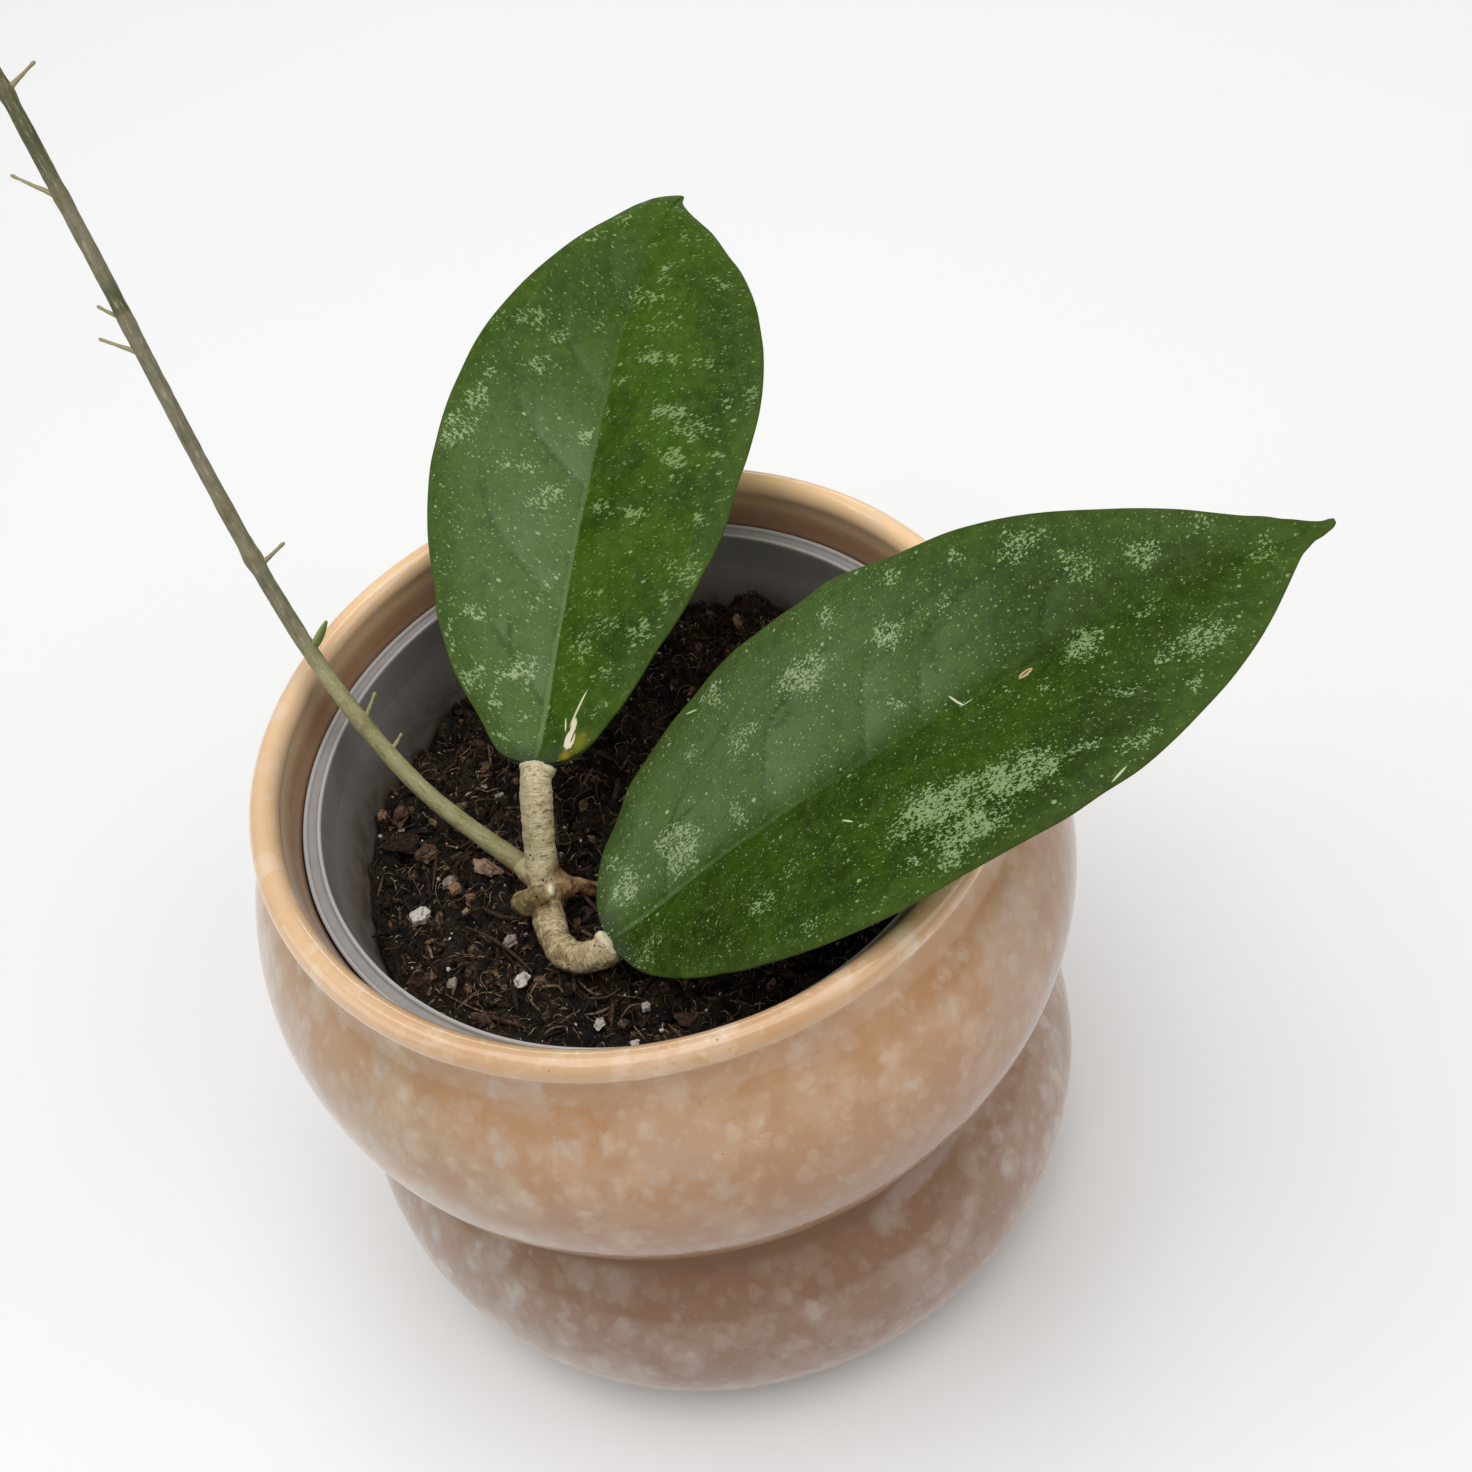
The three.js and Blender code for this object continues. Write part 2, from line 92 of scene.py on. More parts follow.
def noise(places, size, seed=0):
    """Smooth noise from -1 to 1 with lumps of about the given size."""
    q = np.asarray(places, float) / size
    cell = np.floor(q).astype(np.int64)
    f = q - cell
    f = f * f * (3 - 2 * f)
    total = 0.0
    for corner in itertools.product((0, 1), repeat=3):
        weight = 1.0
        for axis, far in enumerate(corner):
            weight = weight * (f[..., axis] if far else 1 - f[..., axis])
        total = total + weight * lattice(*(cell[..., axis] + far for axis, far in enumerate(corner)), seed)
    return 2 * total - 1


def rough_noise(places, size, octaves, seed=0, fall=0.5):
    """Several octaves of noise, each half the size of the last."""
    return sum(fall ** k * noise(places, size / 2 ** k, seed + 17 * k) for k in range(octaves))


def smooth(start, end, x):
    t = np.clip((x - start) / (end - start), 0, 1)
    return t * t * (3 - 2 * t)


def hill(x, width):
    return np.exp(-(x / width) ** 2)


def between(span, t):
    return span[0] + (span[1] - span[0]) * t


def unit(v):
    return v / np.maximum(np.linalg.norm(v, axis=-1, keepdims=True), 1e-12)


def around(count):
    return np.linspace(0, 2 * np.pi, count, endpoint=False)


def turned(r, angle, z):
    return np.stack(np.broadcast_arrays(r * np.cos(angle), r * np.sin(angle), z), -1)


def rotation(axis, angle):
    """Turns about one axis, as matrices."""
    a, b = (axis + 1) % 3, (axis + 2) % 3
    made = np.zeros((*np.shape(angle), 3, 3))
    made[..., axis, axis] = 1
    made[..., a, a] = made[..., b, b] = np.cos(angle)
    made[..., b, a] = np.sin(angle)
    made[..., a, b] = -np.sin(angle)
    return made


class Route:
    """A curve with places and directions by the share of its length."""

    def __init__(self, dense):
        self.dense = np.asarray(dense, float)
        steps = np.linalg.norm(np.diff(self.dense, axis=0), axis=1)
        self.reach = np.concatenate([[0], np.cumsum(steps)])
        self.length = self.reach[-1]

    def at(self, t):
        x = np.clip(np.asarray(t, float), 0, 1) * self.length
        return np.stack([np.interp(x, self.reach, self.dense[:, k]) for k in range(3)], -1)

    def ahead(self, t):
        t = np.asarray(t, float)
        return unit(self.at(t + 0.004) - self.at(t - 0.004))


def through(points, steps=40):
    """A smooth route through points, as a uniform Catmull-Rom curve."""
    p = np.asarray(points, float)
    p = np.vstack([2 * p[0] - p[1], p, 2 * p[-1] - p[-2]])
    t = np.linspace(0, 1, steps, endpoint=False)[:, None]
    parts = [
        b + 0.5 * t * (c - a + t * (2 * a - 5 * b + 4 * c - d + t * (3 * (b - c) + d - a)))
        for a, b, c, d in zip(p, p[1:], p[2:], p[3:])
    ]
    return Route(np.vstack([*parts, p[-2:-1]]))


def bezier(points, steps=400):
    a, b, c, d = np.asarray(points, float)
    t = np.linspace(0, 1, steps + 1)[:, None]
    u = 1 - t
    return Route(u ** 3 * a + 3 * u ** 2 * t * b + 3 * u * t * t * c + t ** 3 * d)


# Meshes

class Shape:
    """Points, faces and per-point values that are gathered into one piece."""

    def __init__(self):
        self.points, self.faces, self.values, self.count = [], [], {}, 0

    def add(self, points, faces, **values):
        points = np.asarray(points, float).reshape(-1, 3)
        self.points.append(points)
        for face in faces:
            self.faces.extend((np.asarray(face) + self.count).tolist())
        for name, value in values.items():
            value = np.asarray(value, float)
            full = np.broadcast_to(value, (len(points), 3) if value.ndim > 1 else (len(points),))
            self.values.setdefault(name, []).append(full)
        self.count += len(points)
        return self


def new_object(name, shape):
    mesh = bpy.data.meshes.new(name)
    mesh.from_pydata((np.vstack(shape.points) * MM).tolist(), [], shape.faces)
    return place_object(name, mesh)


def add_piece(name, shape, material, nodes=(), flat=False):
    piece = new_object(name, shape)
    mesh = piece.data
    for key, parts in shape.values.items():
        values = np.concatenate(parts)
        kind, field = ("FLOAT_VECTOR", "vector") if values.ndim > 1 else ("FLOAT", "value")
        layer = mesh.attributes.new(key, kind, "POINT")
        layer.data.foreach_set(field, values.astype(np.float32).ravel())
    mesh.polygons.foreach_set("use_smooth", np.full(len(mesh.polygons), not flat))
    mesh.materials.append(material)
    mesh.validate()
    mesh.update()
    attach(piece, "root")
    if nodes:
        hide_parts(*nodes)
    return piece


def bake_modifiers(piece):
    """Puts the mesh with its modifiers applied in place of the piece's own."""
    bpy.context.view_layer.update()
    graph = bpy.context.evaluated_depsgraph_get()
    made = bpy.data.meshes.new_from_object(piece.evaluated_get(graph), depsgraph=graph)
    piece.modifiers.clear()
    piece.data = made


def grid_faces(rows, columns, wrap=False, flip=False):
    """Four-sided faces between rows of points; wrap joins the last column to the first."""
    i, j = np.meshgrid(np.arange(rows - 1), np.arange(columns if wrap else columns - 1), indexing="ij")
    k = (j + 1) % columns
    faces = np.stack([i * columns + j, i * columns + k, (i + 1) * columns + k, (i + 1) * columns + j], -1)
    faces = faces.reshape(-1, 4)
    return faces[:, ::-1] if flip else faces


def fan(centre, ring, flip=False):
    faces = np.stack([np.full(len(ring), centre), ring, np.roll(ring, -1)], -1)
    return faces[:, ::-1] if flip else faces


def capped_faces(rows, columns, flip=False):
    """Faces of a closed surface: rings of points, and after them one point for each end."""
    ring, after = np.arange(columns), rows * columns
    return [
        grid_faces(rows, columns, True, flip),
        fan(after, ring, not flip),
        fan(after + 1, ring + after - columns, flip),
    ]


def frames_along(route, t):
    """Two directions across the route at each place, without twist."""
    ahead = route.ahead(t)
    first = np.array([0.0, 0.0, 1.0]) if abs(ahead[0, 2]) < 0.8 else np.array([0.0, 1.0, 0.0])
    across = [unit(first - ahead[0] * (first @ ahead[0]))]
    for d in ahead[1:]:
        across.append(unit(across[-1] - d * (across[-1] @ d)))
    across = np.array(across)
    return across, np.cross(ahead, across)


def tube(route, radius, steps, sides, bulge=None, squash=1.0):
    """A closed tube: radius is a function of the share of length; bulge adds relief by place."""
    t = np.linspace(0, 1, steps + 1)
    across, up = frames_along(route, t)
    angle = around(sides)
    out = across[:, None] * np.cos(angle)[:, None] + squash * up[:, None] * np.sin(angle)[:, None]
    r = np.broadcast_to(np.asarray(radius(t), float)[:, None], (steps + 1, sides))
    points = route.at(t)[:, None] + out * r[..., None]
    if bulge is not None:
        points = points + out * bulge(points)[..., None]
    ends = np.array([route.at(0), route.at(1) + route.ahead(1) * radius(1) * 0.4])
    along = np.concatenate([np.repeat(t, sides), [0, 1]]) * route.length
    turn = np.concatenate([np.tile(angle, steps + 1), [0, 0]])
    return np.vstack([points.reshape(-1, 3), ends]), capped_faces(steps + 1, sides), along, turn


def lathe(profile, segments, wobble):
    """A closed surface turned about +Z; the profile starts and ends on the axis."""
    angle = around(segments)
    rows = profile[1:-1]
    points = turned(rows[:, :1], angle, rows[:, 1:])
    points = points + turned(1.0, angle, 0.0) * wobble(points)[..., None]
    ends = [[0, 0, profile[0, 1]], [0, 0, profile[-1, 1]]]
    return np.vstack([points.reshape(-1, 3), ends]), capped_faces(len(rows), segments)


def even_profile(points, step):
    """The same line with points at an even spacing, corners kept."""
    points = np.asarray(points, float)
    made = [points[0]]
    for a, b in zip(points, points[1:]):
        count = max(1, int(round(np.linalg.norm(b - a) / step)))
        made.extend(a + (b - a) * k / count for k in range(1, count + 1))
    return np.array(made)


def icosphere(detail):
    ball = bmesh.new()
    bmesh.ops.create_icosphere(ball, subdivisions=detail, radius=1.0)
    points = np.array([v.co[:] for v in ball.verts])
    faces = np.array([[v.index for v in f.verts] for f in ball.faces])
    ball.free()
    return points, faces


# Materials

def colour(r, g, b):
    """A linear colour from the numbers 0 to 255 that a screen shows."""
    shares = (r / 255, g / 255, b / 255)
    return (*(c / 12.92 if c <= 0.04045 else ((c + 0.055) / 1.055) ** 2.4 for c in shares), 1.0)


class Wire:
    """A node's output; sums, differences and products of wires add Math nodes."""

    def __init__(self, surface, socket):
        self.surface, self.socket = surface, socket

    def __add__(self, other):
        return self.surface.math("ADD", self, other)

    def __sub__(self, other):
        return self.surface.math("SUBTRACT", self, other)

    def __rsub__(self, other):
        return self.surface.math("SUBTRACT", other, self)

    def __mul__(self, other):
        return self.surface.math("MULTIPLY", self, other)


class Surface:
    """A material whose nodes are added one call at a time around one Principled shader."""

    def __init__(self, name, **constants):
        self.material = bpy.data.materials.new(name)
        self.material.use_nodes = True
        self.tree = self.material.node_tree
        self.shader = next(n for n in self.tree.nodes if n.type == "BSDF_PRINCIPLED")
        for socket, value in constants.items():
            self.shader.inputs[socket.replace("_", " ")].default_value = value

    def feed(self, socket, value):
        if isinstance(value, Wire):
            self.tree.links.new(value.socket, socket)
        else:
            socket.default_value = value

    def add(self, kind, inputs, output=0, **settings):
        node = self.tree.nodes.new("ShaderNode" + kind)
        for key, value in settings.items():
            setattr(node, key, value)
        for key, value in inputs.items():
            self.feed(node.inputs[key], value)
        return Wire(self, node.outputs[output])

    def place(self):
        """Object coordinates in millimetres."""
        return self.add("Mapping", {"Vector": self.add("TexCoord", {}, "Object"), "Scale": [1 / MM] * 3})

    def value_of(self, name, output="Fac"):
        return self.add("Attribute", {}, output, attribute_name=name)

    def parts(self, vector):
        outputs = self.add("SeparateXYZ", {0: vector}).socket.node.outputs
        return [Wire(self, socket) for socket in outputs]

    def math(self, operation, *values, clamp=False):
        return self.add("Math", dict(enumerate(values)), operation=operation, use_clamp=clamp)

    def step(self, value, start, end, low=0.0, high=1.0):
        """Smooth change from low to high as value goes from start to end."""
        inputs = {"Value": value, "From Min": start, "From Max": end, "To Min": low, "To Max": high}
        return self.add("MapRange", inputs, interpolation_type="SMOOTHSTEP")

    def noise(self, vector, scale, detail=3.0, roughness=0.55, distortion=0.0):
        inputs = {"Vector": vector, "Scale": scale, "Detail": detail, "Roughness": roughness}
        return self.add("TexNoise", inputs | {"Distortion": distortion}, "Fac")

    def mix(self, share, a, b, blend="MIX"):
        """Three numbers are a screen colour, and four a linear one."""
        a, b = (colour(*shade) if isinstance(shade, tuple) and len(shade) == 3 else shade for shade in (a, b))
        return self.add("Mix", {0: share, 6: a, 7: b}, 2, data_type="RGBA", blend_type=blend)

    def over(self, base, *layers):
        """Layers on the base, the lowest first: the share that each covers, and its colour."""
        for share, shade in layers:
            base = self.mix(share, base, shade)
        return base

    def discs(self, vector, scale, radius, spread, share, soft=0.12):
        """Round spots: radius and its spread in cells, share of the cells that have one."""
        cells = self.add("TexVoronoi", {"Vector": vector, "Scale": scale, "Randomness": 1.0})
        found = cells.socket.node.outputs
        chance = self.parts(Wire(self, found["Color"]))
        size = self.math("MULTIPLY_ADD", chance[0], spread, radius)
        spot = self.step(size - Wire(self, found["Distance"]), 0.0, soft)
        return spot * self.math("LESS_THAN", chance[1], share)

    def blot(self, vector, x, y, long, wide, turn, full=0.72):
        """A ragged oval patch at a place in the vector's own units, full inside that share of its size."""
        inputs = {
            "Vector": vector, "Location": (x, y, 0), "Rotation": (0, 0, math.radians(turn)),
            "Scale": (long, wide, 1e4),
        }
        local = self.add("Mapping", inputs, vector_type="TEXTURE")
        away = self.add("VectorMath", {0: local}, "Value", operation="LENGTH")
        return self.step(away + (self.noise(vector, 1.6, 4.0, 0.7) - 0.5) * 0.6, 1.0, full)

    def finish(self, base, roughness, bump, distance, strength):
        self.feed(self.shader.inputs["Base Color"], base)
        self.feed(self.shader.inputs["Roughness"], roughness)
        inputs = {"Height": bump, "Distance": distance, "Strength": strength}
        self.feed(self.shader.inputs["Normal"], self.add("Bump", inputs))
        return self.material


# Cover pot

ROUND_SEGMENTS = 200
POT_HEIGHT, POT_WALL, POT_FLOOR = 120, 4.2, 9
RIM_CENTRE, RIM_TUBE, RIM_INNER = 59.4, 2.4, 57.2
UPPER_BULGE = {"radius": 70, "z": 85.5, "across": 43.8, "tall": 40.6}
LOWER_BULGE = {"radius": 68.8, "z": 25, "across": 29.3, "tall": 28}
GROOVE_RADIUS, GROOVE_Z = 54.6, 51.6
# Radius and height along the neck's inside, under the rim's outside, and round the foot
NECK = [[58.3, 106.6], [56.6, 107.9], [55.85, 109.2], [55.75, 110.8], [56.1, 112.2], [56.8, 114.4]]
CREASE = [[60.6, 115.75], [60.25, 115.45], [60.3, 115.2], [60.5, 114.6]]
FOOT = [
    [51.0, 0.9], [50.2, 0.25], [49.3, 0.0], [45.0, 0.0], [44.2, 0.3], [43.8, 1.2], [42.8, 1.7],
    [20, 1.8], [0, 1.8],
]


def oval_arc(bulge, start, end, count, inset=0.0):
    angle = np.radians(np.linspace(start, end, count + 1))
    r = bulge["radius"] - bulge["across"] + (bulge["across"] - inset) * np.cos(angle)
    z = bulge["z"] + (bulge["tall"] - inset) * np.sin(angle)
    return np.stack([r, z], -1)


def pot_profile():
    """Up the inside from the floor's centre, over the rim, and down the outside to the foot."""
    inside = [
        [0, POT_FLOOR], [40, POT_FLOOR], [45.8, POT_FLOOR + 0.6],
        *oval_arc(LOWER_BULGE, -34, 54, 22, POT_WALL), [GROOVE_RADIUS - POT_WALL, GROOVE_Z],
        *oval_arc(UPPER_BULGE, -46, 32, 24, POT_WALL),
    ]
    top = POT_HEIGHT - RIM_TUBE
    angle = np.radians(np.linspace(180, -50, 24))
    rim = np.stack([RIM_CENTRE + RIM_TUBE * np.cos(angle), top + RIM_TUBE * np.sin(angle)], -1)
    groove = [GROOVE_RADIUS, GROOVE_Z] + np.array([[0.9, 3.2], [0.15, 1.3], [0, 0], [0.2, -1.2]])
    return np.vstack([
        even_profile(inside, 3.0), even_profile([*NECK, [RIM_INNER, 116.2], [RIM_INNER, top - 0.6]], 0.9),
        rim, even_profile(CREASE, 0.4)[1:], even_profile(oval_arc(UPPER_BULGE, 37, -45, 52), 1.7),
        groove, even_profile(oval_arc(LOWER_BULGE, 54, -56, 46), 1.7), FOOT,
    ])


def glaze():
    s = Surface("glaze", IOR=1.5, Coat_Weight=0.2, Coat_Roughness=0.1)
    place = s.place()
    x, y, z = s.parts(place)
    warp = s.add("TexNoise", {"Vector": place, "Scale": 0.4, "Detail": 3.0}, "Color")
    bent = s.add("VectorMath", {0: warp, 1: (2.4, 2.4, 2.4)}, operation="MULTIPLY")
    moved = s.add("VectorMath", {0: place, 1: bent}, operation="ADD")
    tall = s.add("Mapping", {"Vector": moved, "Scale": (1.0, 1.0, 0.7)})
    # Droplets crowd on the left and low down, and are rare on the rim
    left, low, rim = s.step(x, 40.0, -75.0), s.step(z, 66.0, 30.0), s.step(z, 113.5, 115.6)
    drift = s.math("MULTIPLY_ADD", s.noise(place, 0.05, 3.0) - 0.5, 1.6, 0.5)
    dense = left * 0.25 + low * 0.25 + drift + 0.45
    dense = s.math("MULTIPLY", dense, s.step(rim, 0.0, 1.0, 1.0, 0.16), clamp=True)
    cloud = s.step(s.noise(moved, 0.09, 5.0, 0.6), 0.44, 0.62) * dense
    spots = (
        s.discs(tall, 0.155, 0.3, 0.24, dense, 0.24) * 0.36
        + s.discs(tall, 0.25, 0.28, 0.26, dense, 0.26) * 0.36
        + s.discs(tall, 0.5, 0.24, 0.28, dense + 0.15, 0.26) * 0.22
    )
    spots = s.math("ADD", spots, cloud * 0.42, clamp=True)
    warm = s.step(s.noise(place, 0.06, 4.0), 0.35, 0.65)
    peach = s.over(
        s.mix(warm, (199, 153, 111), (193, 146, 104)),
        (low, (172, 145, 128)), (s.step(z, 112.0, 90.0, 0.0, 0.35), (180, 136, 104)),
    )
    grey = s.step(s.noise(place, 0.07, 3.0), 0.45, 0.62)
    pale = s.mix(low, s.mix(grey, (215, 186, 158), (206, 182, 163)), (206, 190, 180))
    base = s.mix(spots, peach, pale)
    # Partly painted shade, partly the glaze's own tone: darker low on the upper bulge and all down the lower
    # one except at the left, then darker at the right; and greyer at the left, partly a painted reflection
    upper = s.step(z, 48.0, 53.0)
    lower_shade_share = (1.0 - upper) * s.step(x, 30.0, 56.0, 0.7, 0.15)
    painted_shade_low = s.step(z, 108.0, 66.0) * s.step(x, -64.0, -22.0) * (upper + lower_shade_share)
    right = s.step(x, 36.0, 70.0) * s.step(upper, 0.0, 1.0, 0.4, 1.0)
    base = s.mix(painted_shade_low, base, (0.54, 0.45, 0.36, 1.0), "MULTIPLY")
    base = s.mix(right, base, (0.76, 0.72, 0.66, 1.0), "MULTIPLY")
    base = s.mix(s.step(x, -20.0, -56.0), base, (0.83, 0.88, 0.88, 1.0), "MULTIPLY")
    # Glaze breaks to a warmer tone on the rim, with painted light on its far part and at its left
    frosty = s.step(s.noise(moved, 0.16, 4.0, 0.6), 0.5, 0.64) * 0.3
    rim_tone = s.over(
        s.mix(warm, (214, 174, 132), (206, 161, 118)),
        (s.step(x * 0.6 + y, -30.0, 40.0), (254, 212, 162)),
        (s.step(x, -30.0, -54.0, 0.0, 0.6), (240, 203, 160)),
        (s.math("ADD", frosty, spots * 1.2, clamp=True), (236, 216, 190)),
    )
    # Plain and darker down the inside of the neck, a painted shade, and bare clay under the foot
    away = s.add("VectorMath", {0: s.add("CombineXYZ", {0: x, 1: y, 2: 0.0})}, "Value", operation="LENGTH")
    neck = s.step(away, 59.2, 57.4) * s.step(z, 118.5, 111.5, 0.15, 0.9)
    specks = s.discs(place, 0.3, 0.02, 0.05, 0.1, 0.03) * 0.75
    bare = s.step(z, 0.75, 0.35)
    clay = s.mix(s.noise(place, 0.8, 6.0, 0.7), (214, 188, 160), (190, 160, 132))
    base = s.over(base, (rim, rim_tone), (neck, (146, 110, 82)), (specks, (104, 66, 44)), (bare, clay))
    rough = s.add("Mix", {0: bare, 2: s.step(s.noise(place, 0.09, 4.0), 0.3, 0.7, 0.09, 0.17), 3: 0.85})
    return s.finish(base, rough, s.noise(place, 0.12, 2.0) + s.noise(place, 0.9, 2.0) * 0.06, 0.0006, 0.35)


def pot_wobble(p):
    return 0.16 * noise(p, 26, 3) + 0.05 * noise(p, 9, 4)


cover_pot = Shape().add(*lathe(pot_profile(), ROUND_SEGMENTS, pot_wobble))
add_piece("cover_pot_glazed", cover_pot, glaze(), ["cover_pot"])


# Nursery pot

LINER_BASE = 9.3
LIP_BOTTOM, LIP_RADIUS, LIP_INNER = 104.6, 55.5, 52.5
LINER_TOP, LINER_BOTTOM, LINER_WALL, LINER_FLOOR = 53.7, 41.0, 1.2, 1.4
DRAIN_COUNT, DRAIN_RADIUS, DRAIN_CIRCLE = 4, 3.0, 26.0
DRAIN_HEIGHTS = (5, 10, 15)
# The lip: distance from its inner radius, or from its outer one, and height
LIP_INSIDE = [
    [-0.05, 105.2], [0, 106.0], [0, 110.75], [0.12, 111.0], [0.35, 111.1], [0.6, 111.0], [0.72, 110.7],
    [0.85, 110.45], [1.1, 110.4],
]
LIP_OUTSIDE = [
    [-1.15, 110.4], [-0.88, 110.45], [-0.74, 110.7], [-0.62, 111.0], [-0.36, 111.1], [-0.1, 111.0],
    [0, 110.75], [0, 105.0], [-0.1, 104.7], [-0.35, LIP_BOTTOM],
]


def liner_outer(z):
    return LINER_BOTTOM + (LINER_TOP - LINER_BOTTOM) * (z - LINER_BASE) / (LIP_BOTTOM - LINER_BASE)


def liner_inner(z):
    return liner_outer(z) - LINER_WALL


def liner_profile():
    floor, under = LINER_BASE + LINER_FLOOR, LIP_BOTTOM - 1.2
    neck = [liner_inner(under), under]
    inner = [[0, floor], [liner_inner(10.7) - 1.5, floor], [liner_inner(12.0), 12.2], neck]
    lip = np.vstack([
        neck, [liner_inner(103.6) + 0.05, 104.0],
        [LIP_INNER, 0] + np.array(LIP_INSIDE), [LIP_RADIUS, 0] + np.array(LIP_OUTSIDE),
    ])
    outer = [
        [liner_outer(LIP_BOTTOM) + 0.1, LIP_BOTTOM], [liner_outer(103.8), 103.8],
        [LINER_BOTTOM + 0.1, LINER_BASE + 1.2], [LINER_BOTTOM - 0.4, LINER_BASE + 0.3],
        [LINER_BOTTOM - 1.2, LINER_BASE], [0, LINER_BASE],
    ]
    return np.vstack([even_profile(inner, 3)[:-1], even_profile(lip, 0.6), even_profile(outer, 3)])


def grey_plastic():
    s = Surface("grey_plastic", IOR=1.46, Specular_IOR_Level=0.5)
    place = s.place()
    z = s.parts(place)[2]
    grime = s.step(z, 103.0, 90.0)
    stain = s.step(s.noise(place, 0.22, 5.0, 0.65), 0.42, 0.62)
    flow = s.noise(s.add("Mapping", {"Vector": place, "Scale": (1, 1, 0.15)}), 0.5, 3.0)
    dust = s.discs(place, 0.9, 0.05, 0.12, 0.2, 0.08)
    # Darker and browner down the inside towards the soil; lighter over the lip's top, a painted light; stain
    # and dust near the soil
    base = s.over(
        s.mix(flow, (160, 155, 152), (142, 136, 132)),
        (s.step(z, 106.0, 91.0) * 0.72, (112, 98, 88)), (s.step(z, 110.6, 111.0, 0.0, 0.45), (206, 203, 200)),
        (stain * (grime * 0.7), (84, 68, 56)), (dust * (grime * 0.8), (60, 46, 36)),
    )
    rough = s.step(s.noise(place, 0.5, 4.0), 0.3, 0.7, 0.34, 0.48)
    return s.finish(base, rough, s.noise(place, 1.6, 4.0), 0.00012, 0.4)


def liner_wobble(p):
    """Its own, and the cover pot's at the lip, which nearly touches that pot's wall."""
    near = smooth(98, 107, p[..., 2])
    return (1 - near) * 0.12 * noise(p, 30, 8) + near * pot_wobble(p)


def add_nursery_pot():
    shape = Shape().add(*lathe(liner_profile(), ROUND_SEGMENTS, liner_wobble))
    piece = add_piece("nursery_pot_wall", shape, grey_plastic(), ["nursery_pot"])
    cutters = Shape()
    for k in range(DRAIN_COUNT):
        angle = 2 * math.pi * (k + 0.5) / DRAIN_COUNT
        x, y = DRAIN_CIRCLE * math.cos(angle), DRAIN_CIRCLE * math.sin(angle)
        axis = through([[x, y, z] for z in DRAIN_HEIGHTS])
        cutters.add(*tube(axis, lambda t: DRAIN_RADIUS + 0 * t, 2, 32)[:2])
    drains = new_object("drains", cutters)
    cut = piece.modifiers.new("drains", "BOOLEAN")
    cut.operation, cut.solver, cut.object = "DIFFERENCE", "EXACT", drains
    bake_modifiers(piece)
    bpy.data.objects.remove(drains)


add_nursery_pot()


# Soil

SOIL_LEVEL, SOIL_BOTTOM = 91, 11.0
SOIL_RINGS, SOIL_SECTORS = 168, 260
SOIL_GAP = 0.3
# The wall's start below the soil's level, the shares of its height with a ring, and the last ring's inset
WALL_START, WALL_RINGS, BOTTOM_INSET = 2.5, (0.04, 0.1, 0.3, 0.6, 0.97, 1.0), 0.8
MOUND = {"x": 26, "y": 36, "height": 6.5, "spread": 12}
SOIL_EDGE = liner_inner(SOIL_LEVEL - 3) - SOIL_GAP
# The corky stem's place in plan, and how near to it loose bits may lie
STEM_X, STEM_Y, STEM_CLEAR = -20.2, -7.2, 3.0


def soil_height(x, y):
    away = ((x - MOUND["x"]) ** 2 + (y - MOUND["y"]) ** 2) / (2 * MOUND["spread"] ** 2)
    return (
        SOIL_LEVEL + MOUND["height"] * np.exp(-away)
        + 1.1 * np.sin(0.21 * x + 0.9) * np.cos(0.17 * y - 0.4)
        + 0.6 * np.sin(0.43 * x - 0.31 * y + 1.7)
        + 0.45 * np.sin(0.9 * x + 0.52 * y) * np.cos(0.66 * y - 0.4 * x + 0.8)
    )


def soil_relief(x, y):
    p = np.stack([x, y, 0 * x], -1)
    crumbs = 1 - np.abs(rough_noise(p, 2.0, 3, 25))
    hollows = smooth(0.15, 0.6, noise(p, 4.2, 29)) * smooth(-0.2, 0.4, noise(p, 1.9, 31))
    return 0.9 * rough_noise(p, 5.0, 2, 21) + 1.0 * (crumbs - 0.6) - 1.7 * hollows


def soil_top(x, y):
    return soil_height(x, y) + soil_relief(x, y)


def earth(name, low, high, light, contrast=1.3):
    """Moist potting mix: near-black crumbs, brown fibre and a few light grains, by each bit's tone."""
    s = Surface(name, Specular_IOR_Level=0.22)
    place = s.place()
    uneven = (s.noise(place, 1.6, 6.0, 0.78) - 0.5) * contrast
    ramp = s.add("ValToRGB", {0: s.math("ADD", s.value_of("tone") * 0.8, uneven, clamp=True)})
    stops = ramp.socket.node.color_ramp.elements
    stops[0].color, stops[1].color = colour(*low), colour(*light)
    stops.new(0.55).color = colour(*high)
    rough = s.step(s.noise(place, 0.7, 3.0), 0.35, 0.65, 0.5, 0.9)
    return s.finish(ramp, rough, s.noise(place, 3.0, 5.0, 0.7), 0.0003, 0.7)


PEAT = ((7, 5, 3), (50, 37, 25), (152, 122, 90), 2.6)
STRAW = ((26, 18, 12), (102, 78, 54), (222, 196, 154))
FLAKE = ((22, 16, 12), (84, 62, 46), (172, 142, 114), 2.0)
COIR = ((20, 12, 9), (78, 54, 42), (170, 136, 106))
CHIP = ((54, 38, 28), (124, 94, 74), (206, 172, 146), 1.7)


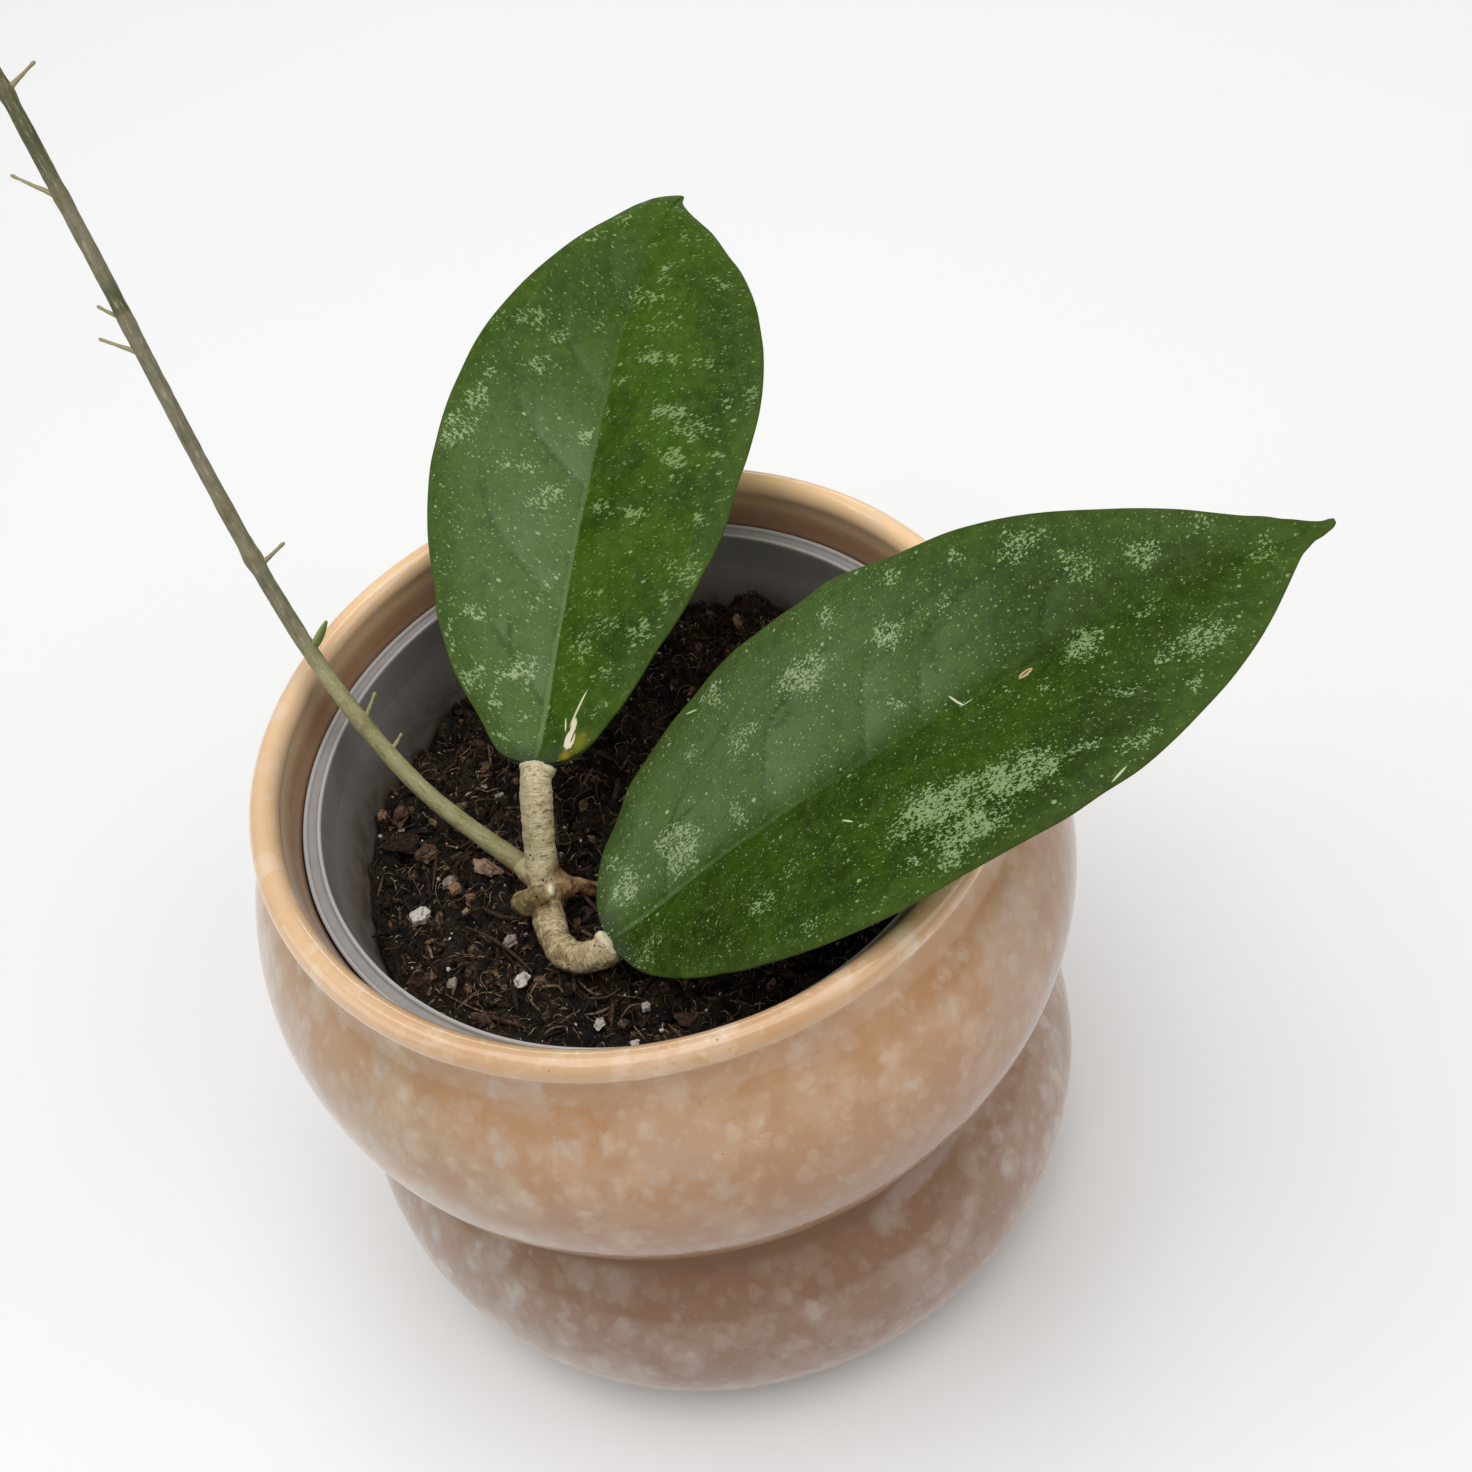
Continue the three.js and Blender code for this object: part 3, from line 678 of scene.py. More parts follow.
def add_soil_bed():
    angle = around(SOIL_SECTORS)
    radius = (SOIL_EDGE * (np.arange(1, SOIL_RINGS + 1) / SOIL_RINGS) ** 0.9)[:, None]
    rows = [turned(radius, angle, soil_top(radius * np.cos(angle), radius * np.sin(angle)))]
    start = SOIL_LEVEL - WALL_START
    for t in WALL_RINGS:
        z = start + (SOIL_BOTTOM - start) * t
        rows.append(turned(liner_inner(z) - SOIL_GAP - (BOTTOM_INSET if t == 1 else 0), angle, z)[None])
    rows = np.concatenate(rows)
    zero = np.array(0.0)
    points = np.vstack([rows.reshape(-1, 3), [0, 0, soil_top(zero, zero)], [0, 0, SOIL_BOTTOM]])
    relief = soil_relief(points[:, 0], points[:, 1])
    # The tone follows the relief: darker in the hollows, a painted shade, and lighter on the crumbs, with
    # random variation besides
    tone = np.clip(0.26 + 0.22 * relief + 0.25 * rough_noise(points, 2.0, 3, 40), 0, 1)
    shape = Shape().add(points, capped_faces(len(rows), SOIL_SECTORS, flip=True), tone=tone)
    add_piece("soil_bed", shape, earth("peat", *PEAT), ["soil"])


def spots_on_soil(rng, count, edge=0.5):
    """Even random places on the soil, inside the wall by edge, and clear of the corky stem."""
    made = np.empty((0, 2))
    while len(made) < count:
        r = (SOIL_EDGE - edge) * np.sqrt(rng.random(count))
        a = rng.random(count) * 2 * np.pi
        p = np.stack([r * np.cos(a), r * np.sin(a)], -1)
        made = np.vstack([made, p[np.hypot(p[:, 0] - STEM_X, p[:, 1] - STEM_Y) > STEM_CLEAR]])
    return made[:count]


def random_turns(rng, count, lean):
    """Rotation matrices: any heading, and a lean of up to the given angle in radians."""
    heading, tip, roll = rng.random(count), rng.random(count), rng.random(count)
    return rotation(2, heading * 2 * np.pi) @ rotation(1, (tip - 0.5) * 2 * lean) @ rotation(0, roll * lean)


def scatter_lumps(seed, count, detail, sizes, stretch, lean, sink, lumpy, tones):
    """Many small irregular lumps on the soil, as one shape."""
    rng = np.random.default_rng(seed)
    ball, faces = icosphere(detail)
    spots = spots_on_soil(rng, count)
    size = between(sizes, rng.random(count) ** 2.2)
    axes = size[:, None] * between(np.array(stretch), rng.random((count, 3))) / 2
    offset = rng.random((count, 1, 3)) * 90
    bulge = 1 + lumpy * noise(ball[None] * 1.1 + offset, 0.9, seed)
    local = ball[None] * bulge[..., None] * axes[:, None]
    leaning = np.einsum("nij,nkj->nki", random_turns(rng, count, lean), local)
    z = soil_top(spots[:, 0], spots[:, 1]) + axes[:, 2] * (1 - 2 * sink)
    points = (leaning + np.column_stack([spots, z])[:, None]).reshape(-1, 3)
    tone = np.repeat(between(tones, rng.random(count) ** 1.6), len(ball))
    all_faces = (faces[None] + len(ball) * np.arange(count)[:, None, None]).reshape(-1, 3)
    return Shape().add(points, [all_faces], tone=tone)


def scatter_fibres(seed, count, lengths, thickness, curl, tones, lift, steps=9, sides=5, crowd=None):
    """Thin bent fibres that lie on the soil, or crowd round one place on it, as one shape."""
    rng = np.random.default_rng(seed)
    spots = spots_on_soil(rng, count, 2.0)
    if crowd is not None:
        spots = np.array(crowd[:2]) + crowd[2] * 0.5 * rng.standard_normal((count, 2))
    long, heading, bend, wiggle, arch, thick, tone = rng.random((7, count, 1))
    t = np.linspace(-0.5, 0.5, steps + 1)
    length = between(lengths, long ** 1.8)
    turn = heading * 2 * np.pi + curl * ((bend - 0.5) * t + 0.5 * (wiggle - 0.5) * np.sin(2 * np.pi * t))
    x = spots[:, :1] + np.cumsum(np.cos(turn), axis=1) * length / steps
    y = spots[:, 1:] + np.cumsum(np.sin(turn), axis=1) * length / steps
    squeeze = np.minimum(1, (SOIL_EDGE - 0.4) / np.maximum(np.hypot(x, y), 1e-6))
    x, y = x * squeeze, y * squeeze
    low = np.pad(soil_top(x, y), ((0, 0), (1, 1)), mode="edge")
    z = 0.25 * low[:, :-2] + 0.5 * low[:, 1:-1] + 0.25 * low[:, 2:] + lift * arch * np.cos(np.pi * t) + 0.15
    centre = np.stack([x, y, z], -1)
    ahead = unit(np.gradient(centre, axis=1))
    side = unit(np.cross(ahead, [0, 0, 1.0]))
    up = np.cross(side, ahead)
    ring = around(sides)[:, None]
    r = between(thickness, thick) * (1 - 0.75 * (2 * np.abs(t)) ** 3)
    out = side[:, :, None] * np.cos(ring) + up[:, :, None] * np.sin(ring)
    body = (centre[:, :, None] + r[:, :, None, None] * out).reshape(count, -1, 3)
    tips = centre[:, [0, -1]] - ahead[:, [0, -1]] * [[0.1], [-0.1]]
    points = np.concatenate([body, tips], 1)
    starts = points.shape[1] * np.arange(count)[:, None, None]
    walls, *caps = capped_faces(steps + 1, sides)
    faces = [(part + starts).reshape(-1, part.shape[1]) for part in (walls, np.concatenate(caps))]
    return Shape().add(points, faces, tone=np.repeat(between(tones, tone ** 1.1)[:, 0], points.shape[1]))


# Lumps by piece: seed, count, ball detail, sizes, least and most stretch, lean, how far sunk, lumpiness
# and tones
LUMPS = {
    "soil_crumbs": (5, 1450, 2, (0.5, 2.4), ([0.7, 0.5, 0.5], [1.4, 1.0, 0.9]), 1.4, 0.35, 0.75, (0.0, 1.0)),
    "soil_flakes": (6, 330, 2, (1.2, 4.0), ([0.9, 0.3, 0.12], [1.4, 0.6, 0.26]), 0.9, 0.1, 0.5, (0.0, 0.9)),
    "soil_splinters": (
        12, 560, 2, (1.6, 5.0), ([1.1, 0.1, 0.08], [1.6, 0.22, 0.16]), 0.6, -0.5, 0.4, (0.05, 1.0),
    ),
    "soil_specks": (9, 210, 1, (0.25, 1.0), ([0.8, 0.8, 0.6], [1.2, 1.1, 1.0]), 1.5, 0.1, 0.4, (0.5, 1.0)),
}
# Fibres by piece: seed, count, lengths, thicknesses, curl, tones, arch, steps and sides, and where they crowd
FIBRES = {
    "soil_fibres": (7, 760, (2, 8), (0.04, 0.09), 4.2, (0.2, 1.0), 1.4, 10, 3),
    "soil_shreds": (11, 4600, (0.5, 2.6), (0.05, 0.16), 1.8, (0.0, 1.0), 0.9, 3, 3),
    "soil_wool": (
        13, 1100, (1.2, 5), (0.04, 0.1), 5.5, (0.1, 0.8), 1.6, 9, 3, (MOUND["x"], MOUND["y"] - 4, 17),
    ),
    "soil_twigs": (8, 60, (5, 13), (0.2, 0.5), 0.8, (0.1, 0.5), 0.8),
}
# Bits that lie on the soil at known places: points in plan, radius in mm, and tone
LAID_BITS = [
    ([[-34.9, -7.7], [-31.3, -10.7], [-28.3, -15.1], [-25.8, -19.7]], 0.5, 0.5),
    ([[-31.7, -5.0], [-29.0, -7.4], [-26.2, -8.9]], 0.65, 0.45),
    ([[-35.7, -25.2], [-32.2, -27.8], [-28.4, -30.5]], 0.65, 0.45),
    ([[-40.5, -19.8], [-38.1, -21.6], [-35.0, -24.7], [-32.6, -26.0]], 0.15, 0.8),
    ([[-27.2, -23.6], [-25.5, -21.8], [-23.6, -20.4]], 0.17, 0.9),
    ([[-25.0, -22.7], [-22.5, -23.6], [-21.6, -25.6]], 0.19, 0.9),
    ([[-27.5, -23.8], [-26.6, -26.1], [-25.9, -27.6]], 0.16, 0.85),
    ([[-19.3, -30.7], [-17.0, -30.7], [-14.5, -30.0]], 0.22, 0.8),
    ([[-13.7, -32.3], [-11.9, -31.4], [-9.9, -31.7]], 0.17, 0.75),
    ([[-17.8, -28.1], [-15.1, -28.2], [-12.6, -27.2]], 0.18, 0.7),
    ([[-26.2, -33.6], [-24.3, -32.8], [-22.3, -32.7]], 0.17, 0.75),
    ([[-18.8, -25.0], [-17.2, -27.1], [-15.7, -27.7]], 0.2, 0.75),
    ([[-38.1, -18.4], [-38.6, -19.5], [-39.0, -20.5]], 0.42, 0.95),
    ([[-47.0, 22.2], [-46.6, 20.7], [-45.6, 17.1]], 0.28, 0.12),
    ([[-12.4, -34.3], [-11.6, -36.6], [-10.5, -39.1]], 0.15, 0.8),
    ([[-3.0, -38.2], [-1.6, -37.6], [-0.1, -38.2]], 0.18, 0.75),
    ([[5.7, -36.1], [6.6, -35.0], [8.0, -34.3]], 0.16, 0.6),
    ([[-24.0, 2.6], [-20.0, 6.4], [-14.6, 7.4]], 0.14, 0.7),
    ([[-22.4, 9.5], [-17.8, 12.4], [-13.4, 10.8]], 0.16, 0.6),
]
# Lumps at known places: x, y, length, width, height, heading in degrees, and tone; one over 1 is white,
# with the rest as its stain
LAID_LUMPS = [
    [-43.0, 14.0, 7.0, 4.0, 1.3, -25, 0.2], [-38.6, 9.6, 4.2, 2.2, 1.6, 30, 0.7],
    [-35.6, 1.6, 2.2, 2.2, 1.8, 10, 1.0], [-45.2, 19.6, 2.6, 1.8, 1.2, 70, 0.95],
    [-27.1, 21.8, 1.3, 1.1, 0.7, 0, 1.8], [-29.8, 20.4, 1.7, 1.2, 0.7, 40, 1.8],
    [-24.9, 19.5, 1.9, 0.9, 0.6, 10, 1.7], [-26.0, 25.5, 2.4, 2.0, 1.6, 80, 0.75],
    [-42.6, 16.6, 1.2, 0.7, 0.6, 0, 1.2], [-8.0, -37.2, 0.9, 0.7, 0.6, 0, 1.2],
    [-8.8, -39.9, 1.0, 0.8, 0.6, 0, 1.2], [-33.0, -2.6, 1.8, 1.5, 1.2, 0, 0.8],
    [-34.4, -4.6, 1.5, 1.2, 1.0, 30, 0.95],
]
LAID_STEPS, LAID_SIDES = 26, 10


def add_laid_bits(chips, white):
    laid, grit = Shape(), Shape()
    for plan, radius, tone in LAID_BITS:
        x, y = np.array(plan).T
        z = np.maximum(soil_top(x, y), soil_height(x, y)) + radius * 0.8 + 0.35
        made = tube(
            through(np.column_stack([x, y, z])), lambda t: radius * (1 - 0.7 * np.abs(2 * t - 1) ** 3),
            LAID_STEPS, LAID_SIDES, lambda p: 0.22 * radius * rough_noise(p, 1.2, 2, 66),
            0.6 if radius > 0.4 else 1.0,
        )
        laid.add(*made[:2], tone=tone)
    ball, faces = icosphere(4)
    for k, (x, y, long, wide, tall, heading, tone) in enumerate(LAID_LUMPS):
        lump = 1 + 0.28 * rough_noise(ball + 5 * k, 0.8, 4, 68)
        lump = lump * np.clip(0.8 / np.abs(ball).max(1), 0.8, 1.12)
        body = (ball * lump[:, None] * [long / 2, wide / 2, tall / 2]) @ rotation(2, math.radians(heading)).T
        body = body + [x, y, soil_height(x, y) + 0.3 * tall + 0.3]
        if tone > 1:
            grit.add(body, [faces], stained=tone - 1)
        else:
            laid.add(body, [faces], tone=tone)
    add_piece("soil_laid_bits", laid, chips, flat=True)
    add_piece("soil_laid_grit", grit, white)


def add_soil_bits():
    peat, straw, chips = earth("peat_crumb", *PEAT), earth("straw", *STRAW), earth("bark_flake", *FLAKE)
    coir, white = earth("coir", *COIR), white_grain()
    looks = {
        "soil_crumbs": (peat, "soil", True), "soil_flakes": (chips, "bark", True),
        "soil_splinters": (chips, "bark", True), "soil_fibres": (straw, "bark", False),
        "soil_shreds": (straw, "bark", False), "soil_wool": (coir, "bark", False),
        "soil_twigs": (chips, "bark", False), "soil_specks": (white, "perlite", False),
    }
    for name, (look, slot, flat) in looks.items():
        shape = scatter_lumps(*LUMPS[name]) if name in LUMPS else scatter_fibres(*FIBRES[name])
        add_piece(name, shape, look, flat=flat)
    add_laid_bits(chips, white)


def white_grain():
    s = Surface("perlite_grain", Specular_IOR_Level=0.35, Subsurface_Weight=0.1, Subsurface_Scale=0.0006)
    place = s.place()
    pits = s.discs(place, 1.5, 0.12, 0.25, 0.6, 0.1)
    dirt = s.step(s.noise(place, 0.7, 5.0, 0.7), 0.52, 0.66)
    soiled = s.step(s.noise(place, 1.1, 4.0, 0.65), 0.3, 0.62, 1.0, 0.55)
    base = s.over(
        s.mix(s.noise(place, 0.8, 3.0), (228, 220, 212), (184, 172, 160)),
        (dirt * 0.7, (96, 74, 58)), (pits * 0.75, (110, 90, 74)),
        (s.value_of("stained") * soiled, (104, 84, 70)),
    )
    rough = s.step(s.noise(place, 1.0), 0.3, 0.7, 0.75, 0.95)
    return s.finish(base, rough, s.noise(place, 2.0, 4.0) - pits * 0.8, 0.0003, 0.7)


# White grains: x, y, the CAD's size in mm, the visible share of it, and how stained it is
PERLITE = [
    [-42, -2.3, 3.9, 0.66, 0.0], [-27.6, -20.6, 2.9, 0.8, 0.05], [-17.2, -32.6, 2.1, 0.8, 0.1],
    [-28.4, -12.1, 2.1, 0.95, 0.75], [-36.3, 3.2, 2.3, 0.9, 1.0], [-9.4, -32.6, 2, 0.7, 0.4],
    [-12.6, -38.6, 1.9, 0.75, 0.15], [-38.7, -18.1, 2.7, 0.6, 1.0],
]
# Bark chips: x, y, size in mm, stretch, heading in degrees, and tone
BARK = [
    [-29.2, 2.0, 2.7, 2, -54, 1.05], [-42.2, 19.2, 2.6, 1.8, 70, 0.25], [-39.6, 10.4, 2.2, 1.7, 20, 0.4],
    [-35, -27, 2, 1.8, -36, 0.2],
]


def grain_shape(ball, index, x, y, size, stretch, heading, pits):
    a, b, c = ball.T
    lump = 1 + 0.16 * np.sin(5 * a + 3 * index) * np.cos(4 * b - 2 * index) + 0.1 * np.sin(6 * c + index)
    fine = 0.24 * rough_noise(ball + 7 * index, 0.8, 3, 60)
    fine = fine - pits * np.clip(noise(ball + 3 * index, 0.34, 61), 0, 1)
    p = ball * (lump + fine)[:, None] * (np.array([stretch, 1, 0.85]) * size / 2)
    p = p @ rotation(2, math.radians(heading)).T
    return p + [x, y, soil_height(x, y) + 0.15 * size + 0.35]


def add_grains():
    ball, faces = icosphere(5)
    white = white_grain()
    for k, (x, y, size, share, stain) in enumerate(PERLITE):
        shape = Shape().add(grain_shape(ball, k, x, y, size * share, 1.25, 40, 0.3), [faces], stained=stain)
        add_piece(f"perlite_grain_{k + 1}", shape, white, [f"perlite_{k + 1}"])
    brown = earth("bark_chip_brown", *CHIP)
    for k, (x, y, size, stretch, heading, tone) in enumerate(BARK):
        points = grain_shape(ball, k + 20, x, y, size, stretch, heading, 0.1)
        shape = Shape().add(points, [faces], tone=tone + 0.35 * noise(points, 1.5, 9))
        add_piece(f"bark_piece_{k + 1}", shape, brown, [f"bark_chip_{k + 1}"])


add_soil_bed()
add_soil_bits()
add_grains()


# Leaves

LEAF_THICKNESS = 1.2
LEAF_ROOT = {"thickness": 2.6, "reach": 0.07}
LEAF_CAMBER = 1.1
LEAF_ROWS, LEAF_INNER = 230, 37
EDGE_ANGLES = np.radians([18, 36, 52, 66, 78, 90])
GAP = 0.3
# For each blade, in this order: its curve, roll, fold and waves; where its side veins leave the midrib and
# how far they lean; the share of the length over which the midrib is pale, and how pale; the lace in the
# splashes (fineness, turn and stretch); the colour of the left half's painted sheen, where that is full
# beside the midrib and over which shares of the length it fades out; a tint over the whole blade; the right
# half's fleck colours
LEAVES = {
    "leaf_upper": {
        "midrib": [[-15.5, 4.3, 112], [2.5, 37.5, 130], [21, 77, 149], [36.1, 90, 151]],
        "roll": [-9, 9], "fold": 7, "wave": 0.5, "waves": 3,
        "veins": [0.09, 0.235, 0.43, 0.6, 0.76], "lean": 1.0, "rib": (0.8, 0.6),
        "lace": (1.7, 62, (1.5, 0.85, 1.0)), "left_sheen_colour": (82, 104, 54), "left_sheen_reach": (-1.8, 0.44, 0.74),
        "tint": 0.0, "silver": ((98, 126, 66), (156, 176, 120)),
    },
    "leaf_right": {
        "midrib": [[-12, -23.3, 97], [10.5, -17.4, 103], [34.3, -31.8, 142], [101.8, -28.6, 152]],
        "roll": [-5, 20.5], "fold": 11.7, "wave": 0.5, "waves": 3.5,
        "veins": [0.1, 0.26, 0.405, 0.49, 0.66], "lean": 0.5, "rib": (0.5, 0.32),
        "lace": (2.2, 10, (1.2, 0.95, 1.0)), "left_sheen_colour": (82, 103, 59), "left_sheen_reach": (-5.5, 0.4, 0.76),
        "tint": 0.42, "silver": ((112, 140, 82), (168, 188, 138)),
    },
}

# Half widths of the blades in mm, left and right of the midrib, at these shares of its length
STATIONS = [
    0, 0.004, 0.01, 0.02, 0.04, 0.07, 0.1, 0.14, 0.18, 0.22, 0.26, 0.3, 0.34, 0.38, 0.42, 0.46, 0.5,
    0.54, 0.58, 0.62, 0.66, 0.7, 0.74, 0.78, 0.82, 0.86, 0.89, 0.915, 0.935, 0.95, 0.96, 0.97, 0.98, 0.988,
    0.995, 1,
]
HALF_WIDTHS = {
    ("leaf_upper", "left"): [
        1.5, 4.6, 6.6, 8.2, 10, 12.3, 14.9, 18, 20.2, 22.3, 23.5, 25, 26.3, 27.1, 27.6, 27.9, 27.8, 27.7,
        27.3, 26.5, 25.5, 23.9, 21.7, 19.3, 16.6, 13.8, 11.4, 9.2, 7.6, 6.4, 5.4, 4.5, 3.3, 2.2, 1.2, 0.4,
    ],
    ("leaf_upper", "right"): [
        1.5, 3.8, 5.6, 7.4, 9.6, 12, 14.4, 16.5, 18.3, 20.6, 22.6, 24.2, 25.8, 26.7, 27.1, 27.2, 27.7, 28,
        28.2, 28, 27.4, 26.4, 24.9, 23.2, 20.9, 17.9, 14.7, 12.1, 9.7, 7.1, 5.2, 3.4, 1.8, 0.9, 0.6, 0.4,
    ],
    ("leaf_right", "left"): [
        1.5, 5.2, 8.2, 11.4, 15.9, 18.8, 21.9, 24.7, 27.2, 28.8, 30.3, 30.7, 30.1, 29.6, 29.1, 29.3, 28.3,
        26.9, 25.8, 24.6, 22.9, 21, 18.8, 16.3, 13.7, 10.7, 8.1, 6, 4.6, 3.3, 2.6, 1.8, 1.1, 0.7, 0.6, 0.4,
    ],
    ("leaf_right", "right"): [
        1.5, 4.6, 7, 9, 11.7, 15, 18, 20.9, 23.1, 25.4, 27.1, 28.5, 29.3, 29.5, 29.3, 28.8, 28.2, 27.8,
        27.3, 26.6, 25.1, 23.8, 21.7, 19.2, 16.5, 13.1, 10, 7.1, 4.7, 3, 2.3, 1.7, 1.5, 1.2, 0.9, 0.4,
    ],
}
SIDES = ((-1, "left"), (1, "right"))


def half_width(s, name, side):
    """Distance from the midrib to the margin."""
    curve = through([[at, wide, 0] for at, wide in zip(STATIONS, HALF_WIDTHS[name, side])], 10).dense
    return np.interp(s, curve[:, 0], curve[:, 1])


def midrib_of(name):
    points = np.array(LEAVES[name]["midrib"], float)
    points[0] += unit(points[1] - points[0]) * GAP / 2
    return bezier(points)


def blade(name, route, s, across):
    """Middle surface: s along the midrib by row, across in mm by row and column, left negative."""
    leaf = LEAVES[name]
    centre, along = route.at(s), route.ahead(s)
    up = unit(np.array([0, 0, 1.0]) - along * along[:, 2:])
    side = np.cross(along, up)
    roll = np.radians(between(leaf["roll"], s))[:, None]
    normal = up * np.cos(roll) + side * np.sin(roll)
    flat = side * np.cos(roll) - up * np.sin(roll)
    wide = np.where(across < 0, half_width(s, name, "left")[:, None], half_width(s, name, "right")[:, None])
    out = np.abs(across) / wide
    fold = (math.radians(leaf["fold"]) * np.clip(s / 0.1, 0.3, 1))[:, None]
    ends = np.sin(np.pi * s)[:, None]
    lift = (
        np.abs(across) * np.sin(fold)
        + LEAF_CAMBER * np.sin(np.pi * out) * ends
        + leaf["wave"] * out ** 2 * ends * np.sin(2 * np.pi * leaf["waves"] * s[:, None] + np.sign(across))
    )
    out = flat[:, None] * (across * np.cos(fold))[..., None]
    return centre[:, None] + out + normal[:, None] * lift[..., None]


def vein_plan(name, sign):
    """The side veins of one half: shares of the length at shares of the half width."""
    lean = LEAVES[name]["lean"]
    starts = [a + 0.012 * math.sin(5 * k + 2 * sign) for k, a in enumerate([*LEAVES[name]["veins"], 0.88])]
    return [
        [[a, 0], [a + 0.045 * lean, 0.22], [a + 0.1 * lean, 0.44], [a + 0.07 + 0.08 * lean, 0.58],
         [a + 0.16 + 0.06 * lean, 0.66], [b + 0.13, 0.66], [b + 0.05 + 0.07 * lean, 0.5]]
        for a, b in zip(starts, starts[1:])
    ]


def vein_lines(name, length):
    """Side veins that leave the midrib, bend forwards and loop into the next one, in leaf millimetres."""
    lines = []
    for sign, side in SIDES:
        for plan in vein_plan(name, sign):
            dense = through([[min(s, 0.97), u, 0] for s, u in plan], 14).dense
            out = sign * dense[:, 1] * half_width(dense[:, 0], name, side)
            vein = np.stack([dense[:, 0] * length, out], -1)
            lines.append(vein)
            # Two fine branches inside the loop
            for share, reach in ((0.3, 0.6), (0.55, 0.45)):
                turn = sign * (0.9 - 0.5 * share)
                run = np.linspace(0, reach * 11, 9)
                branch = np.stack([run * math.cos(turn * 0.4), run * math.sin(turn * 0.4) * 0.7], -1)
                lines.append(vein[int(share * len(vein))] + branch)
    return lines


def sheen_between_veins(name, s, share, sign):
    """1 just beyond a side vein, and falling to 0 before the next one."""
    rising = [np.array(plan[:5]) for plan in vein_plan(name, sign)]
    stops = [np.interp(share, vein[:, 1], vein[:, 0]) for vein in rising]
    stops = [stops[0] - 0.18, *stops, stops[-1] + 0.2, np.full_like(share, 1.4)]
    sheen = np.zeros_like(share)
    for a, b in zip(stops, stops[1:]):
        sheen = np.where((s >= a) & (s < b), 1 - smooth(-0.25, 1.0, (s - a) / np.maximum(b - a, 1e-3)), sheen)
    return sheen


def nearest_line(places, lines):
    """Distance from each flat place to the nearest of the lines."""
    best = np.full(len(places), 1e9)
    for line in lines:
        for a, b in zip(line, line[1:]):
            d = b - a
            t = np.clip(((places - a) @ d) / max(d @ d, 1e-9), 0, 1)
            best = np.minimum(best, np.linalg.norm(places - a - t[:, None] * d, axis=1))
    return best


# Pale splashes: place along the midrib and across it, size along and across in mm, and density
SPLASHES = {
    "leaf_upper": [
        (77, -16, 2.2, 2.8, 2), (85, 3, 2.4, 3.1, 2), (90, 5, 1.7, 1.5, 2), (69, -13, 1.6, 2.4, 2),
        (62, -22, 2.2, 1.7, 2), (56, -25, 3.2, 3.6, 2), (78, 8, 1.2, 2.4, 2), (73, 8, 1.5, 3.4, 2),
        (72, 17, 1.4, 1.4, 2), (62, 13, 1.5, 3.7, 3), (59, 18, 1.7, 3.2, 2), (53, 15, 1.2, 2.4, 3),
        (52, 17, 1.1, 1.1, 3), (50, -12, 1.2, 3.2, 2), (57, -2, 1.1, 1.1, 4), (77, -4, 1.1, 1.1, 2),
        (74, -11, 1.1, 1.1, 3), (98, -6, 1.2, 1.1, 2), (93, -10, 1.1, 1.2, 3), (98, 6, 1.7, 1.3, 1),
        (88, 16, 1.5, 1.5, 2), (66, 27, 2.8, 1.3, 2), (54, 23, 1.3, 1.7, 2), (66, -21, 1.1, 1.1, 3),
        (68, 2, 1.7, 1.3, 1), (76, -22, 1.3, 1.3, 1), (46, -7, 1.9, 2.2, 2), (44, 4, 1.2, 2.3, 2),
        (43, 10, 1.1, 1.4, 3), (42, 23, 1.3, 1.4, 2), (33, 22, 2.6, 2.4, 2), (35, 17, 1.5, 1.5, 1),
        (29, 5, 1.1, 1.5, 2), (24, 9, 1.4, 2.7, 2), (20, 5, 2.4, 1.9, 2), (23, 15, 1.5, 1.7, 2),
        (15, 10, 1.2, 2.2, 2), (10, 11, 1.1, 1.3, 2), (15, -6, 2.2, 2.1, 3), (13, -14, 2.0, 2.6, 3),
        (10, -9, 2.2, 1.2, 2), (4, -8, 1.1, 1.3, 2), (24, -15, 1.1, 1.6, 3), (26, -20, 1.9, 1.1, 2),
        (20, -19, 2.4, 1.1, 2), (26, -5, 1.1, 1.1, 1), (8, -4, 1.2, 1.3, 1), (29, 19, 1.1, 1.2, 2),
    ],
    "leaf_right": [
        (50, -17, 4.8, 3.7, 3), (18, -6, 3.6, 3.5, 3), (6, -7, 2.8, 2.8, 3), (65, -15, 2.3, 2.0, 3),
        (35, -15, 2.8, 1.9, 2), (30, -5, 1.8, 2.1, 2), (25, -19, 1.1, 1.1, 4), (62, -5, 1.1, 1.6, 3),
        (58, -24, 1.5, 1.3, 2), (34, 16, 2.6, 1.5, 2), (39, 13, 1.5, 1.3, 1), (43, 26, 1.5, 1.2, 2),
        (32, 27, 2.3, 1.1, 2), (7, 7, 3.9, 3.1, 1), (69, -24, 1.8, 1.4, 2), (75, -15, 1.1, 1.2, 2),
        (32, -26, 2.1, 1.6, 2), (6, -13, 1.3, 2.1, 2), (89, -16, 2.8, 2.4, 2), (94, -9, 2.1, 2.9, 2),
        (103, -7, 2.8, 2.4, 3), (80, -20, 1.3, 1.2, 3), (100, 1, 2.1, 1.4, 2), (105, 9, 4.1, 2.5, 2),
        (100, 10, 1.5, 1.2, 2), (90, 2, 2.6, 2.9, 3), (92, 12, 2.1, 1.2, 2), (84, 18, 1.5, 1.1, 2),
        (91, 20, 2.8, 1.5, 2), (65, 16, 7.6, 4.0, 4), (75, 17, 5.6, 3.6, 4), (68, 22, 5.0, 2.6, 4),
        (64, 25, 1.6, 1.7, 4), (59, 23, 1.1, 1.1, 3), (79, 18, 2.2, 1.4, 3), (118, 0, 2.1, 1.6, 1),
        (112, -8, 2.1, 1.2, 1), (82, 5, 1.3, 1.1, 2), (102, 15, 1.5, 1.2, 2),
    ],
}
